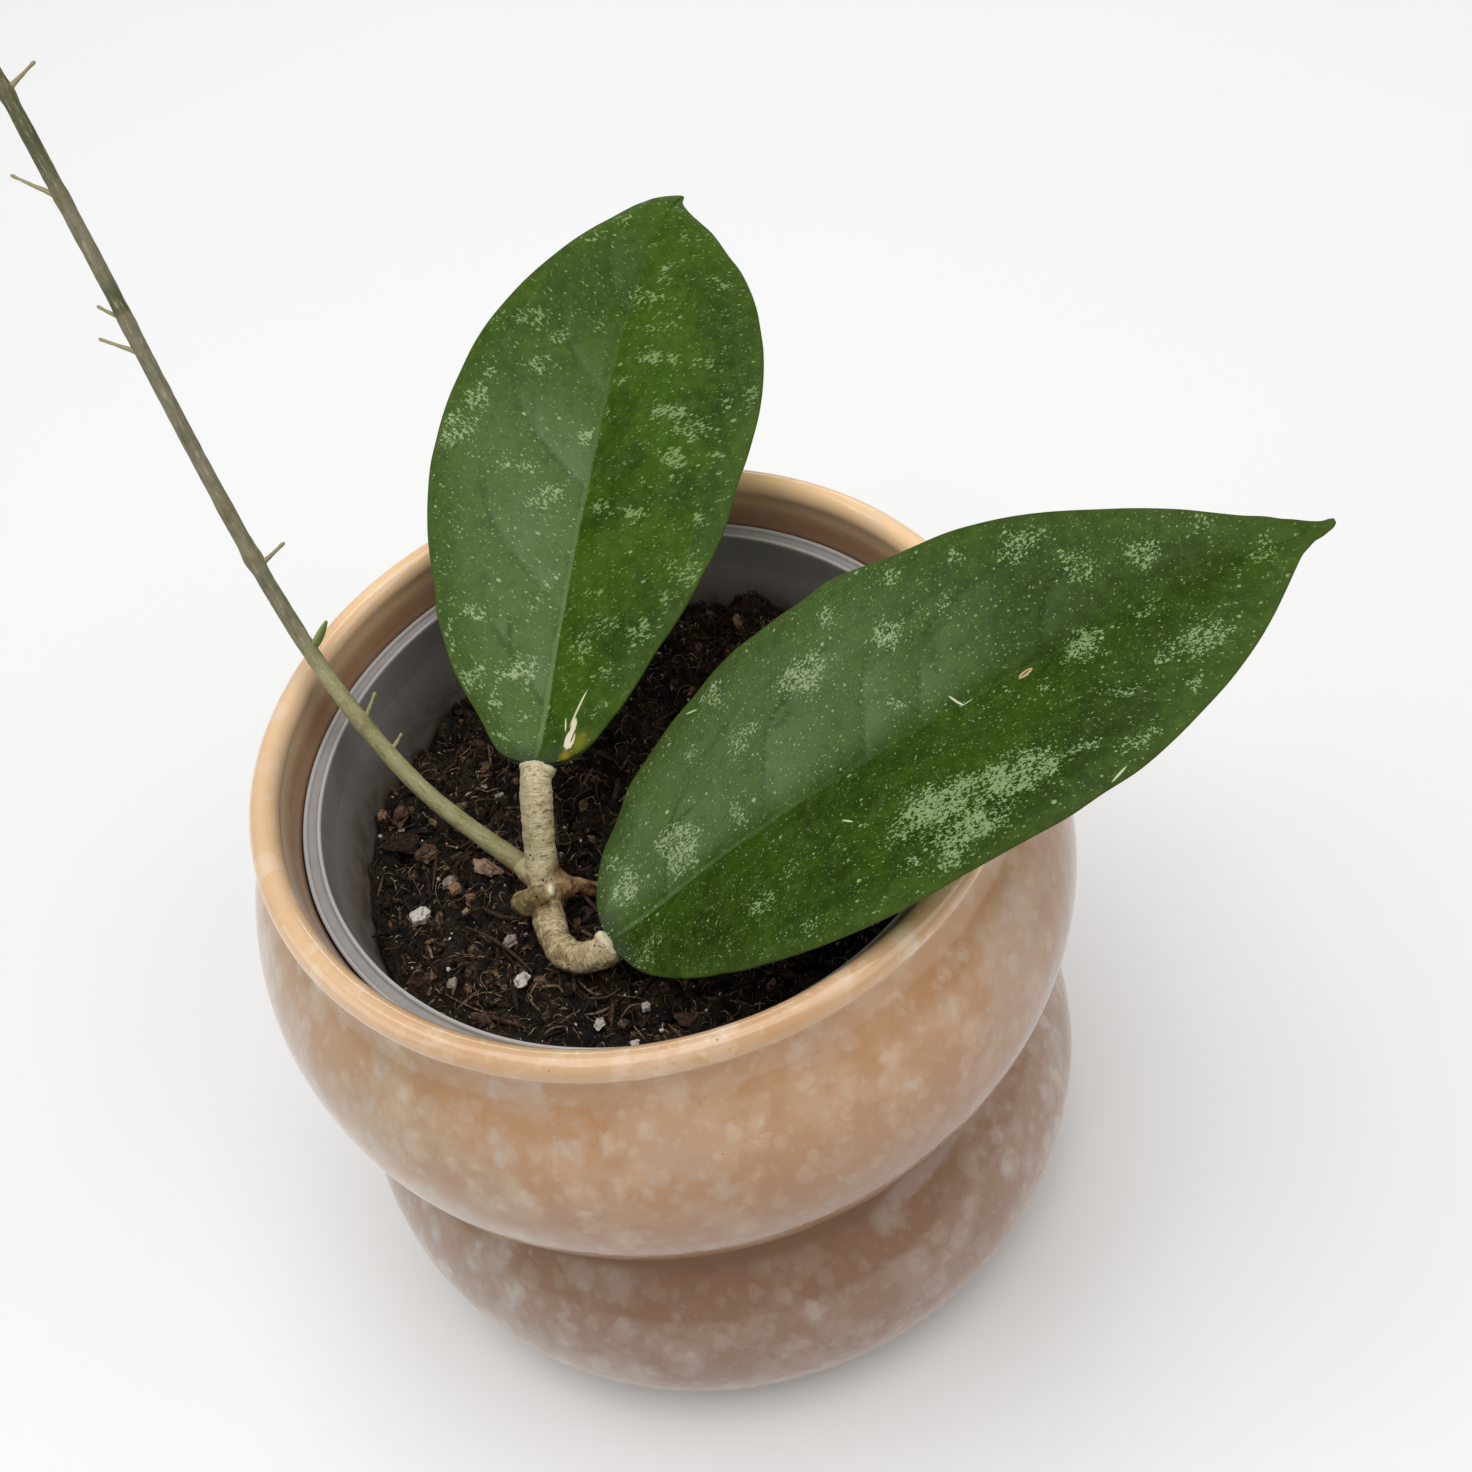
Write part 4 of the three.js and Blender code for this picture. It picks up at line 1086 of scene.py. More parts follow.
SPLASH_DENSITY = {1: 0.5, 2: 0.72, 3: 0.88, 4: 1.0}
# Scars: place, half length and half width in mm, turn in degrees from the midrib, screen colour, and for
# the soft ones the share of their size inside which they are full
SCARS = {
    "leaf_upper": [
        (4.2, 7.2, 2.9, 1.7, 24, (110, 112, 24), 0.1), (1.6, 5.2, 1.7, 1.5, 0, (128, 114, 24), 0.1),
        (9.6, 6.4, 3.6, 0.2, 24, (214, 212, 176)), (6.6, 5.8, 1.6, 0.55, 10, (222, 214, 180)),
        (4.4, 5.4, 1.9, 0.95, 12, (224, 214, 184)), (6.8, 4.3, 1.2, 0.18, -6, (206, 206, 168)),
        (5.0, 5.9, 1.3, 0.14, 14, (96, 78, 34)),
    ],
    "leaf_right": [
        (81.2, 1.0, 1.35, 0.7, -24, (196, 170, 128)), (81.2, 1.0, 0.9, 0.22, -24, (120, 92, 62)),
        (70.4, -0.8, 1.7, 0.2, 62, (206, 214, 178)), (71.6, 0.4, 1.2, 0.18, -10, (196, 206, 168)),
        (50.1, 10.4, 1.3, 0.18, 38, (196, 206, 168)), (87.4, 23.4, 1.6, 0.18, -30, (190, 200, 160)),
        (27.4, -26.0, 1.5, 0.2, 20, (190, 202, 158)),
    ],
}


def blade_grid(name, s, edge_radius):
    """Columns of the blade: place across, how full the edge is, and distance to the margin."""
    halves = []
    for side in ("left", "right"):
        w = half_width(s, name, side)[:, None]
        r = np.minimum(edge_radius[:, None], 0.6 * w)
        inner = (w - r) * (np.arange(LEAF_INNER + 1) / LEAF_INNER)
        out = np.concatenate([inner, w - r + r * np.sin(EDGE_ANGLES)], 1)
        full = np.broadcast_to(np.concatenate([np.ones(LEAF_INNER + 1), np.cos(EDGE_ANGLES)]), out.shape)
        halves.append((out, full, w - out))
    return [
        np.concatenate([sign * a[:, ::-1], b[:, 1:]], 1) for sign, a, b in zip((-1, 1, 1), *halves)
    ]


def blade_faces(rows, columns):
    """Upper and lower face, whose outermost columns are one and the same, and a point at each end."""
    base, less, last = rows * columns, columns - 2, columns - 1
    i = np.arange(rows - 1)
    under, over = base + i * less, base + (i + 1) * less

    def loop(row):
        back = (base + row * less + np.arange(less))[::-1]
        return np.concatenate([row * columns + np.arange(columns), back])

    after = base + rows * less
    return [
        grid_faces(rows, columns), grid_faces(rows, less, flip=True) + base,
        np.stack([i * columns, (i + 1) * columns, over, under], -1),
        np.stack([i * columns + last, under + less - 1, over + less - 1, (i + 1) * columns + last], -1),
        fan(after, loop(0), flip=True), fan(after + 1, loop(rows - 1)),
    ]


def leaf_shape(name, route):
    even = np.linspace(0, 1, LEAF_ROWS)
    s = 0.45 * (1 - np.cos(np.pi * even)) / 2 + 0.55 * even
    near = np.maximum(1 - s / LEAF_ROOT["reach"], 0)
    thick = (LEAF_THICKNESS + (LEAF_ROOT["thickness"] - LEAF_THICKNESS) * near ** 2) / 2
    thick = thick * (1 - 0.35 * smooth(0.97, 1.0, s))
    taper = 0.55 * (1 - smooth(0.0, 0.05, s)) + 0.45
    across, full, margin = blade_grid(name, s, thick * taper ** 0.5 * 0.8)
    columns = across.shape[1]
    middle = blade(name, route, s, across)
    normal = unit(np.cross(np.gradient(middle, axis=1), np.gradient(middle, axis=0)))
    s = s[:, None]
    x = np.broadcast_to(s * route.length, across.shape)
    places = np.stack([x, across], -1).reshape(-1, 2)
    vein = nearest_line(places, vein_lines(name, route.length)).reshape(x.shape)
    # Relief: waves, puffed fields between the veins, the midrib's groove above, and raised veins below
    far = smooth(0.0, 2.0, margin)
    full = full * (1 - (1 - taper[:, None]) * (1 - smooth(0.0, 5.0, margin))) * thick[:, None]
    leafy = np.stack([x, across, 0 * x], -1)
    sway = 0.35 * noise(leafy, 17, 71) + 0.12 * noise(leafy, 6, 72)
    puff = 0.13 * (1 - hill(vein, 2.2)) * far
    groove = 0.22 * hill(across, 0.7) * smooth(0, 0.04, s) * (1 - 0.7 * s)
    crease = 0.05 * hill(vein, 0.45) * far
    ridge = hill(across, 1.25) * (1 - 0.85 * s) * smooth(0, 0.05, s)
    upper = middle + normal * (full + far * (sway + puff - crease) - groove * far)[..., None]
    lower = middle - normal * (full + far * (ridge + 0.2 * hill(vein, 0.7) - sway - 0.6 * puff))[..., None]
    ends = middle[[0, -1], columns // 2]
    points = np.vstack([upper.reshape(-1, 3), lower[:, 1:-1].reshape(-1, 3), ends])

    def spread(grid, at_ends=(0.0, 0.0)):
        return np.concatenate([grid.ravel(), grid[:, 1:-1].ravel(), at_ends])

    share = np.abs(across) / np.maximum(np.abs(across) + margin, 1e-6)
    rows_s = np.broadcast_to(s, across.shape)
    left, right = (sheen_between_veins(name, rows_s, share, sign) for sign, _ in SIDES)
    sheen = np.where(across < 0, left, right) * (1 - smooth(0.3, 0.85, share))
    face_side = np.repeat([1.0, -1.0, 1.0], [across.size, lower[:, 1:-1, 0].size, 2])
    place = np.stack([spread(x, (0, route.length)), spread(across), face_side], -1)
    ragged = place * [1, 1, 0]
    drift = [1.3 * noise(ragged, 3.1, seed) + 0.8 * noise(ragged, 1.3, seed + 1) for seed in (73, 75)]
    splash = np.zeros(len(place))
    for cx, cy, sx, sy, strength in SPLASHES[name]:
        away = np.hypot((place[:, 0] + drift[0] - cx) / sx, (place[:, 1] + drift[1] - cy) / sy)
        splash = np.maximum(splash, SPLASH_DENSITY[strength] * (1 - smooth(0.6, 1.5, away)))
    return Shape().add(
        points, blade_faces(LEAF_ROWS, columns), leaf_place=place, vein_gap=np.minimum(spread(vein), 9),
        edge_gap=np.minimum(spread(margin), 16), splash=splash, sheen=spread(sheen),
    )


def leaf_skin(name, length):
    leaf = LEAVES[name]
    s = Surface(name + "_skin", IOR=1.46, Specular_IOR_Level=0.1)
    along, across, face = s.parts(s.value_of("leaf_place", "Vector"))
    wide = s.math("ABSOLUTE", across, 0.0)
    right = s.step(across, -0.01, 0.01)
    flat = s.add("CombineXYZ", {0: along, 1: across, 2: face * 40.0})
    mirrored = s.add("CombineXYZ", {0: along, 1: wide, 2: face * 40.0 + right * 9.0})
    vein, edge, splash, sheen = (s.value_of(key) for key in ("vein_gap", "edge_gap", "splash", "sheen"))
    # The left half is lighter and greyer than the right, a painted sheen, with a soft painted light patch
    # beyond each side vein
    full_at, fade_from, fade_to = leaf["left_sheen_reach"]
    left = s.step(across, 0.9, full_at) * s.step(along, fade_to * length, fade_from * length, 0.12, 1.0)
    uneven = sheen * s.step(s.noise(flat, 0.09, 3.0), 0.4, 0.6, 0.15, 1.0)
    mottle = s.noise(flat, 0.45, 6.0, 0.66)
    # Veins and midrib; the dark vein lines, strongest on the left half, are partly the veins' own tone and
    # partly painted shade in their creases
    line = s.step(vein, 0.75, 0.1) * s.step(edge, 5.0, 15.0, 0.0, 0.5)
    line = line * s.step(s.noise(flat, 0.11, 2.0), 0.35, 0.6, 0.35, 1.0)
    line = line * s.step(across, 0.6, -0.6, 0.12, 1.0)
    wander = s.math("MULTIPLY_ADD", s.noise(flat, 0.5, 3.0), 0.7, -0.35)
    rib_edge = s.math("ABSOLUTE", across + 0.25, 0.0) + wander
    reach, strength = leaf["rib"]
    rib = s.step(rib_edge, 0.75, 0.2) * s.step(along, reach * length, 0.0, 0.03, strength)
    near = along - s.noise(flat, 0.4, 3.0) * 4.0
    green = s.over(
        s.mix(s.step(s.noise(flat, 0.06, 4.0, 0.6), 0.38, 0.62), (38, 60, 2), (54, 84, 4)),
        (s.step(along, 0.6 * length, length, 0.0, 0.5), (66, 90, 8)), (leaf["tint"], (34, 46, 8)),
        (s.step(edge, 7.5, 0.5, 0.0, 0.35), (70, 94, 34)),
        # The left half's painted sheen, and a faint painted sheen beyond the side veins on both halves
        (left * s.step(edge, 0.5, 8.0, 0.4, 0.9), leaf["left_sheen_colour"]),
        (left * (uneven * 0.6), (108, 130, 94)), (uneven * 0.1, (88, 112, 50)),
        (s.step(mottle, 0.42, 0.7, 0.0, 0.24), (92, 120, 44)),
        (s.step(mottle, 0.5, 0.32, 0.0, 0.22), (30, 48, 4)),
        (line, (34, 50, 16)), (rib, (112, 138, 90)), (s.step(near, 2.5, -1.5, 0.0, 0.85), (50, 62, 38)),
    )
    # Splashes in lacy clusters that are drawn out one way, and fine specks everywhere
    fineness, turn, stretch = leaf["lace"]
    inputs = {"Vector": mirrored, "Rotation": (0, 0, math.radians(turn)), "Scale": stretch}
    drawn = s.add("Mapping", inputs, vector_type="TEXTURE")
    broken = splash * s.step(s.noise(mirrored, 0.5, 3.0, 0.6), 0.36, 0.56, 0.55, 1.05)
    patch = s.step(s.noise(drawn, fineness, 4.0, 0.68, 0.5) + broken * 0.165, 0.62, 0.655)
    share = s.step(s.noise(mirrored, 0.12, 4.0, 0.6), 0.4, 0.66, 0.06, 0.5) + splash * 0.4 + left * 0.08
    fine = s.discs(drawn, 1.5, 0.1, 0.26, share, 0.12) * 0.8
    dots = s.discs(drawn, 0.6, 0.05, 0.19, share * 0.8, 0.05)
    pale = s.math("MAXIMUM", patch, s.math("MAXIMUM", fine, dots))
    pale = s.math("MAXIMUM", pale, s.discs(drawn, 1.3, 0.2, 0.3, broken * 0.35, 0.1)) * s.step(edge, 0.3, 1.0)
    grain = s.noise(flat, 1.6, 3.0)
    # The flecks are greyer on the left half, under its painted sheen
    silver = s.mix(left * 0.75, s.mix(grain, *leaf["silver"]), s.mix(grain, (128, 150, 104), (196, 210, 170)))
    scars = [(s.blot(flat, *scar[:5], *scar[6:]), scar[5]) for scar in SCARS[name]]
    top = s.over(
        green, (pale * 0.84, silver), (s.discs(flat, 0.8, 0.04, 0.07, 0.16, 0.05) * 0.6, (26, 36, 12)),
        *scars, (s.step(edge, 0.4, 0.1, 0.0, 0.4), (74, 78, 28)),
    )
    # Underside: paler, with light raised veins
    under = s.over(
        s.mix(s.noise(flat, 0.2, 4.0), (92, 120, 66), (110, 136, 80)),
        (s.step(vein, 0.8, 0.15, 0.0, 0.5), (134, 156, 100)), (s.step(wide, 1.8, 0.6), (140, 158, 102)),
    )
    base = s.mix(s.step(face, -0.2, 0.2), under, top)
    rough = s.step(s.noise(flat, 0.5, 4.0), 0.3, 0.7, 0.38, 0.5) + pale * 0.12
    return s.finish(base, rough, mottle * 0.5 + s.noise(flat, 3.0, 3.0) * 0.15, 0.0002, 0.35)


for leaf_name in LEAVES:
    midrib = midrib_of(leaf_name)
    skin_shape = leaf_shape(leaf_name, midrib)
    add_piece(leaf_name + "_blade", skin_shape, leaf_skin(leaf_name, midrib.length), [leaf_name])


# Corky stem

NODE = [-20.2, -7.2, 95.8]
STEM_FOOT = [-18.6, -4.6, 74]
STALK_RADIUS = 2.65
COLLAR = 0.3
STEM_STEPS, STEM_SIDES = 40, 28
STEM_VOXEL, SMOOTHING_ROUNDS = 0.27, 4


def stalk_route(name, points):
    midrib = np.array(LEAVES[name]["midrib"], float)
    direction = unit(midrib[1] - midrib[0])
    return through([NODE, *points, midrib[0] - 2.2 * direction, midrib[0] - 0.15 * direction])


def stalk_radius(t):
    return STALK_RADIUS + 0.25 * (1 - smooth(0, 0.25, t)) + COLLAR * smooth(0.93, 0.97, t)


# The two stalks, the side knob, the right root and its ridge, the vine's swelling, and the stem under
# the node
KNOB = 2
STEM_PARTS = [
    (stalk_route("leaf_upper", [[-19.1, -3.6, 101.8], [-17.6, -0.1, 107.6]]), stalk_radius),
    (stalk_route("leaf_right", [[-20.8, -13, 95.4], [-20.4, -18.6, 95], [-18.2, -22.4, 95.2]]), stalk_radius),
    (through([[-18.4, -11.0, 99.2], [-20.6, -10.9, 98.7], [-22.8, -10.4, 97.4], [-25.4, -9.9, 96]]),
     lambda t: 0.95 + 1.05 * smooth(0, 0.5, t) - 0.35 * smooth(0.8, 1, t)),
    (through([[-19.4, -8.6, 96.6], [-17.2, -8.5, 95.8], [-14.8, -8.6, 94.4], [-12, -8.6, 91]]),
     lambda t: 2.8 - 2.0 * smooth(0.05, 0.6, t)),
    (through([[-18.4, -5.6, 98.4], [-16.2, -7, 95.9], [-13.4, -8, 94.6], [-10.4, -8.6, 93]]),
     lambda t: 0.9 - 0.4 * t),
    (through([[-20.6, -6, 96.6], [-22.1, -4.3, 97.3], [-23.4, -2.8, 98]]), lambda t: 2.6 - 0.85 * t),
    (through([NODE, [-19.7, -5.9, 88], STEM_FOOT]), lambda t: 3 - 0.5 * t),
]
STEM_BALLS = [(NODE, [3.0, 3.2, 3.0]), (STEM_FOOT, [2.5, 2.5, 2.5])]


def relax(points, edges, rounds, share=0.5):
    """Laplacian smoothing."""
    count = np.bincount(edges.ravel(), minlength=len(points))[:, None]
    for _ in range(rounds):
        total = np.zeros_like(points)
        np.add.at(total, edges[:, 0], points[edges[:, 1]])
        np.add.at(total, edges[:, 1], points[edges[:, 0]])
        points = points + share * (total / np.maximum(count, 1) - points)
    return points


def vertex_normals(points, faces):
    quads = np.array([f if len(f) == 4 else [*f, f[2]] for f in faces])
    a, b, c, d = (points[quads[:, k]] for k in range(4))
    face_normals = np.cross(c - a, d - b)
    total = np.zeros_like(points)
    for k in range(4):
        np.add.at(total, quads[:, k], face_normals)
    return unit(total)


def fused_stem():
    """Points and faces of the stem's parts, grown together and smoothed."""
    rough = Shape()
    for route, radius in STEM_PARTS:
        rough.add(*tube(route, radius, STEM_STEPS, STEM_SIDES)[:2])
    ball, faces = icosphere(4)
    for centre, size in STEM_BALLS:
        rough.add(ball * size + centre, [faces])
    block = new_object("stem", rough)
    remesh = block.modifiers.new("remesh", "REMESH")
    remesh.mode, remesh.voxel_size = "VOXEL", STEM_VOXEL * MM
    bake_modifiers(block)
    points = np.array([v.co[:] for v in block.data.vertices]) / MM
    edges = np.array([e.vertices[:] for e in block.data.edges])
    faces = [list(p.vertices) for p in block.data.polygons]
    bpy.data.objects.remove(block)
    return relax(points, edges, SMOOTHING_ROUNDS), faces


def stem_shape():
    points, faces = fused_stem()
    # Place along the nearest part, blended where parts meet
    weights, alongs, ends = [], [], []
    for k, (route, radius) in enumerate(STEM_PARTS):
        t = np.linspace(0, 1, 90)
        gap = np.linalg.norm(points[:, None] - route.at(t)[None], axis=2)
        best = t[gap.argmin(1)]
        weights.append(np.exp(-5 * gap.min(1) / radius(best)))
        alongs.append(best * route.length + 40 * k)
        ends.append(smooth(0.955, 0.985, best) if k < KNOB else 0 * best)
    pick = np.argmax(weights, 0)
    chosen = np.max(weights, 0) / np.sum(weights, 0)
    along = np.choose(pick, alongs)
    collar = np.choose(pick, ends) * smooth(0.5, 0.8, chosen)
    line = along[:, None] * [1, 0, 0]
    rings = noise(line + 0.25 * noise(points, 2.0, 80)[:, None], 0.55, 81)
    wide_rings = noise(line + 0.5 * noise(points, 3.0, 82)[:, None], 1.5, 83)
    pits = smooth(0.45, 0.75, noise(points, 0.75, 88)) * smooth(-0.2, 0.3, noise(points, 4.0, 89))
    lower = 1 - smooth(95, 101, points[:, 2])
    knob = (pick == KNOB) * smooth(0.3, 0.6, chosen)
    relief = (
        smooth(0.35, 0.7, chosen) * (0.07 * rings + 0.1 * wide_rings)
        + 0.1 * rough_noise(points, 2.6, 3, 84) + 0.05 * noise(points, 0.6, 85) - 0.16 * pits
        + collar * (0.12 + 0.22 * noise(points, 0.9, 86))
        + lower * 0.2 * rough_noise(points, 1.6, 3, 87) + knob * 0.3 * rough_noise(points, 1.9, 2, 93)
    )
    points = points + vertex_normals(points, faces) * relief[:, None]
    shape = Shape().add(points, [], stem_along=along, collar=collar)
    shape.faces = faces
    return shape


def cork():
    s = Surface("cork", Specular_IOR_Level=0.25)
    place = s.place()
    x, y, z = s.parts(place)
    along, collar = s.value_of("stem_along"), s.value_of("collar")
    ringed = s.add("CombineXYZ", {0: along, 1: x * 0.22, 2: y * 0.22})
    rings = s.noise(ringed, 1.7, 5.0, 0.7)
    patch = s.noise(place, 0.3, 4.0, 0.6)
    grain = s.noise(place, 2.2, 5.0, 0.75)
    low = s.step(z, 103.0, 95.0)
    band = s.math("ABSOLUTE", s.noise(ringed, 1.1, 2.0, 0.5) - 0.5, 0.0)
    crack = s.step(band, 0.026, 0.008) * s.step(s.noise(place, 0.7, 3.0), 0.38, 0.5)
    mottled = s.step(s.noise(place, 0.6, 5.0, 0.7), 0.4, 0.58, 0.3, 0.95)
    # Painted shade, darker and greener, on the left of the upper stalk; browner low down, round the node's
    # heart and on the knob
    shaded = s.step(x - z * 0.22, -41.0, -43.5) * s.step(z, 99.0, 104.0)
    heart = s.step(x, -19.6, -17.4) * s.step(z, 103.0, 98.0) * s.step(y, -14.5, -11.5, 0.0, 0.8)
    knob = s.step(x, -19.3, -20.3) * (s.step(z, 101.0, 100.2) * s.step(y, -8.6, -9.6))
    knob = knob * s.step(y, -14.4, -13.0, 0.0, 0.85)
    tip = s.blot(place, -18.3, -11.4, 1.4, 1.3, 0) * s.step(z, 98.4, 98.9, 0.0, 0.85)
    crowd = s.step(s.noise(place, 0.3, 2.0), 0.42, 0.58, 0.0, 0.6) * s.step(z, 109.0, 101.0, 0.25, 1.0)
    pits = s.discs(place, 1.25, 0.05, 0.3, crowd + knob * 0.3 + low * 0.12, 0.08)
    # A greener tone where the vine leaves
    joined = s.step(x, -21.4, -23.2) * s.step(y, -6.2, -4.6)
    base = s.over(
        s.mix(s.step(patch, 0.34, 0.66), (214, 196, 152), (236, 220, 180)),
        (s.step(grain, 0.54, 0.66, 0.0, 0.8), (246, 238, 208)),
        (s.step(grain, 0.47, 0.36) * s.step(low, 0.0, 1.0, 0.35, 0.7), (134, 108, 64)),
        (s.step(rings, 0.46, 0.34, 0.0, 0.45), (146, 124, 82)), (crack * 0.6, (84, 62, 36)),
        (s.step(rings, 0.58, 0.72, 0.0, 0.4), (242, 234, 206)), (shaded * 0.5, (150, 146, 110)),
        (low * mottled, (116, 88, 46)), (heart, s.mix(mottled, (158, 122, 76), (96, 64, 34))),
        (knob, s.mix(mottled, (156, 134, 82), (60, 48, 22))), (tip, (236, 226, 194)),
        (pits * 0.9, (38, 28, 16)), (joined * 0.7, (164, 156, 108)), (collar * 0.8, (228, 218, 188)),
    )
    height = rings + grain * 0.8 - pits * 1.1 - crack * 0.4
    return s.finish(base, s.step(patch, 0.3, 0.7, 0.6, 0.8), height, 0.00025, 0.7)


add_piece("stem_cork", stem_shape(), cork(), ["stem"])


# Vine

VINE_ROUTE = [
    [-21.6, -4.3, 96.3], [-34.6, 9, 107.8], [-43.2, 22.8, 120], [-49.2, 37.4, 133],
    [-53.8, 52.5, 146], [-57.8, 67.4, 159.2], [-61.6, 82.4, 172.3], [-65.6, 97.2, 185.3],
    [-69.2, 110, 196.5], [-73.5, 121, 205], [-78, 129, 209],
]
VINE_ROOT, VINE_MIDDLE, VINE_TIP = 1.5, 1.32, 0.6
VINE_FLARE = {"more": 0.45, "reach": 6}
# Swollen joints: place along the vine, and how much its radius grows there, in mm
VINE_JOINTS = [[37.5, 0.15], [70, 0.3], [79.5, 0.06], [114, 0.12], [136.5, 0.12], [156, 0.2]]
JOINT_SPREAD, JOINT_TINT_SPREAD = 1.7, 1.4
# Air roots and one bract: place along the vine, length, direction. The value rootlet is 1 on an air root
# and 2 on the bract
AIR_ROOTS = [
    [31, 2.6, [0.75, 0.47, 0.46]], [37.5, 4, [0.6, 0.58, 0.54]], [52, 4.4, [0.67, 0.54, 0.51]],
    [68.5, 4.4, [0.89, 0.31, 0.33]], [108, 6.4, [-0.82, 0.46, 0.34]], [114, 4, [-0.73, 0.54, 0.41]],
    [136.5, 7.8, [-0.76, 0.52, 0.39]], [156, 5.4, [0.87, 0.35, 0.36]],
]
BRACT_AT = 52
VINE_STEPS, VINE_SIDES = 520, 22
ROOT_STEPS, ROOT_SIDES, BRACT_SIDES = 22, 10, 12


def vine_radius(t, length):
    taper = VINE_ROOT + (VINE_MIDDLE - VINE_ROOT) * smooth(0, 0.5, t)
    taper = taper + (VINE_TIP - VINE_MIDDLE) * smooth(0.82, 1, t)
    taper = taper + VINE_FLARE["more"] * np.exp(-t * length / VINE_FLARE["reach"])
    for at, more in VINE_JOINTS:
        taper = taper + more * hill(t * length - at, JOINT_SPREAD)
    return taper


def vine_relief(points):
    grain = 0.03 * rough_noise(points, 2.0, 3, 90) + 0.04 * noise(points * [1, 1, 0.3], 1.1, 91)
    return grain + 0.05 * noise(points, 7.0, 92)


def bract_radius(t):
    return 0.25 + 0.75 * np.sin(np.pi * np.clip(t * 0.86 + 0.12, 0, 1)) ** 0.9


def rootlet_radius(t):
    knob = smooth(0.8, 0.93, t) * (1 - smooth(0.95, 1.0, t))
    return 0.5 - 0.3 * t + 0.35 * (1 - smooth(0, 0.35, t)) + 0.1 * knob


def round_place(along, turn):
    return np.stack([0.14 * along, 1.3 * np.cos(turn), 1.3 * np.sin(turn)], -1)


def vine_shape():
    route = through(VINE_ROUTE)
    length = route.length
    whole = tube(route, lambda t: vine_radius(t, length), VINE_STEPS, VINE_SIDES, vine_relief)
    along, turn = whole[2:]
    joints = np.max([hill(along - at, JOINT_TINT_SPREAD) for at, _ in VINE_JOINTS], 0)
    shape = Shape().add(
        *whole[:2], vine_along=along, joint=joints, rootlet=0.0, vine_round=round_place(along, turn),
    )
    for k, (at, long, direction) in enumerate(AIR_ROOTS):
        start = route.at(at / length)
        d = unit(np.array(direction, float))
        side = unit(np.cross(d, route.ahead(at / length)))
        out = vine_radius(np.array(at / length), length)
        bend = side * (0.5 if k % 2 else -0.4) + np.array([0, 0, -0.25])
        path = through([
            start, start + d * (out * 0.9), start + d * (out + 0.35 * long) + 0.35 * bend,
            start + d * (out + 0.7 * long) + 0.2 * bend, start + d * (out + long),
        ])
        if at == BRACT_AT:
            made, kind = tube(path, bract_radius, ROOT_STEPS, BRACT_SIDES, squash=0.45), 2.0
        else:
            made = tube(path, rootlet_radius, ROOT_STEPS, ROOT_SIDES, lambda p: 0.05 * noise(p, 0.7, 95))
            kind = 1.0
        shape.add(*made[:2], vine_along=at, joint=0.0, rootlet=kind, vine_round=round_place(*made[2:]))
    return shape


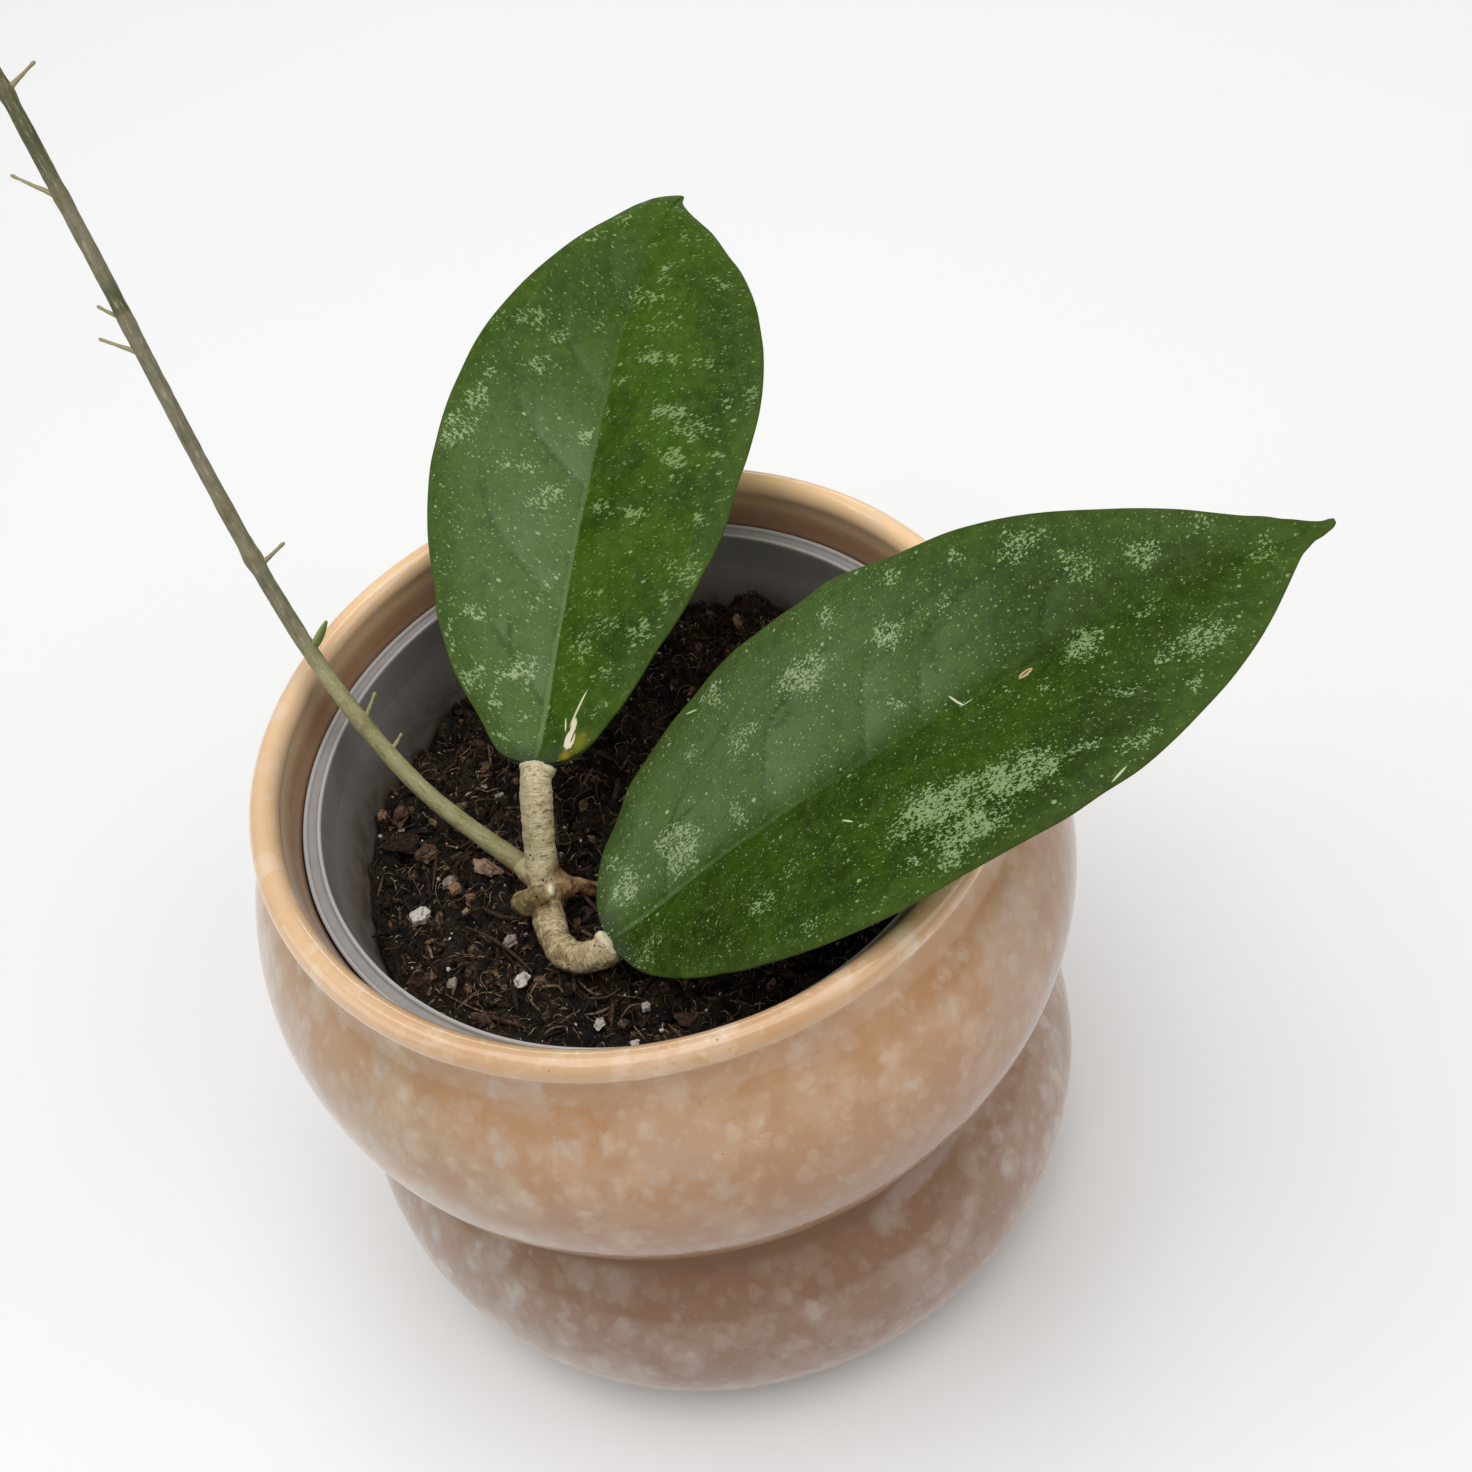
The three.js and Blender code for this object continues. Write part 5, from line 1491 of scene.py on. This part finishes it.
def vine_bark():
    s = Surface("vine_bark", Specular_IOR_Level=0.35)
    place = s.place()
    along, joint, rootlet = s.value_of("vine_along"), s.value_of("joint"), s.value_of("rootlet")
    patch = s.step(s.noise(place, 0.3, 4.0), 0.3, 0.7)
    fresh = s.step(along, 114.0, 115.5) * s.step(along, 124.0, 118.0)
    fresh = s.math("MAXIMUM", s.step(along, 133.0, 146.0), fresh)
    streaks = s.noise(s.value_of("vine_round", "Vector"), 2.6, 4.0, 0.65)
    frost = s.noise(place, 1.5, 5.0, 0.7)
    dusty = s.step(frost, 0.56, 0.68) * s.step(along, 60.0, 48.0, 0.12, 0.5)
    worn = s.step(s.noise(place, 1.2, 4.0), 0.35, 0.6, 0.1, 0.6)
    tan = s.discs(place, 1.4, 0.05, 0.2, 0.2, 0.12)
    grain = s.noise(place, 1.5, 3.0)
    base = s.over(
        s.mix(patch, (136, 134, 88), (158, 152, 110)),
        (s.step(along, 44.0, 60.0), s.mix(patch, (104, 101, 74), (126, 120, 96))),
        (fresh * 0.75, (64, 66, 20)), (s.step(streaks, 0.54, 0.7, 0.0, 0.6), (176, 168, 132)),
        (s.step(streaks, 0.46, 0.32, 0.0, 0.5), (66, 68, 36)), (dusty, (214, 210, 168)),
        (joint * worn, (132, 112, 80)), (tan * 0.4, (150, 130, 92)),
        (s.step(along, 9.0, 2.0, 0.0, 0.7), (150, 134, 92)),
        (s.step(rootlet, 0.4, 0.6), s.mix(grain, (176, 168, 128), (140, 128, 92))),
        (s.step(rootlet, 1.4, 1.6), s.mix(grain, (124, 140, 70), (150, 160, 96))),
    )
    rough = s.step(frost, 0.3, 0.7, 0.42, 0.62)
    return s.finish(base, rough, streaks * 0.8 + (frost * 0.6 - tan), 0.00015, 0.6)


add_piece("vine_green", vine_shape(), vine_bark(), ["vine"])


# Floor, light and colour

FLOOR_SIDE = 3000
LIGHT_AIM = Vector((0.0, 0.0, 0.1))


def add_floor():
    corners = [(-FLOOR_SIDE, -FLOOR_SIDE, 0), (FLOOR_SIDE, -FLOOR_SIDE, 0), (FLOOR_SIDE, FLOOR_SIDE, 0),
               (-FLOOR_SIDE, FLOOR_SIDE, 0)]
    floor = new_object("floor", Shape().add(corners, [[[0, 1, 2, 3]]]))
    s = Surface("floor", Roughness=0.7, Base_Color=colour(249, 249, 248))
    floor.data.materials.append(s.material)


def add_light(name, azimuth, elevation, distance, width, height, power):
    """A soft box aimed at the plant; azimuth 0 is behind it, at +Y, and 90 to the right, at +X."""
    a, e = math.radians(azimuth), math.radians(elevation)
    way = Vector((math.sin(a) * math.cos(e), math.cos(a) * math.cos(e), math.sin(e)))
    data = bpy.data.lights.new(name, "AREA")
    data.shape = "RECTANGLE"
    data.size, data.size_y, data.energy = width, height, power
    lamp = place_object(name, data)
    lamp.location = LIGHT_AIM + way * distance
    lamp.rotation_mode = "QUATERNION"
    lamp.rotation_quaternion = (-way).to_track_quat("-Z", "Y")


def add_world():
    world = bpy.data.worlds.new("world")
    bpy.context.scene.world = world
    world.use_nodes = True
    back = next(n for n in world.node_tree.nodes if n.type == "BACKGROUND")
    back.inputs["Color"].default_value = (0.97, 0.985, 1.0, 1.0)
    back.inputs["Strength"].default_value = 0.3


add_floor()
add_world()
add_light("overhead", -95, 86, 1.5, 1.5, 1.4, 17)
add_light("left_panel", -88, 26, 1.4, 1.0, 0.8, 3.2)
add_light("right_fill", 122, 42, 1.6, 1.2, 1.0, 5)
add_light("back_strip", 12, 22, 1.3, 0.6, 0.12, 1.2)

view = bpy.context.scene.view_settings
view.view_transform = "Standard"
view.look = "None"
view.exposure = 0.0
view.gamma = 1.0
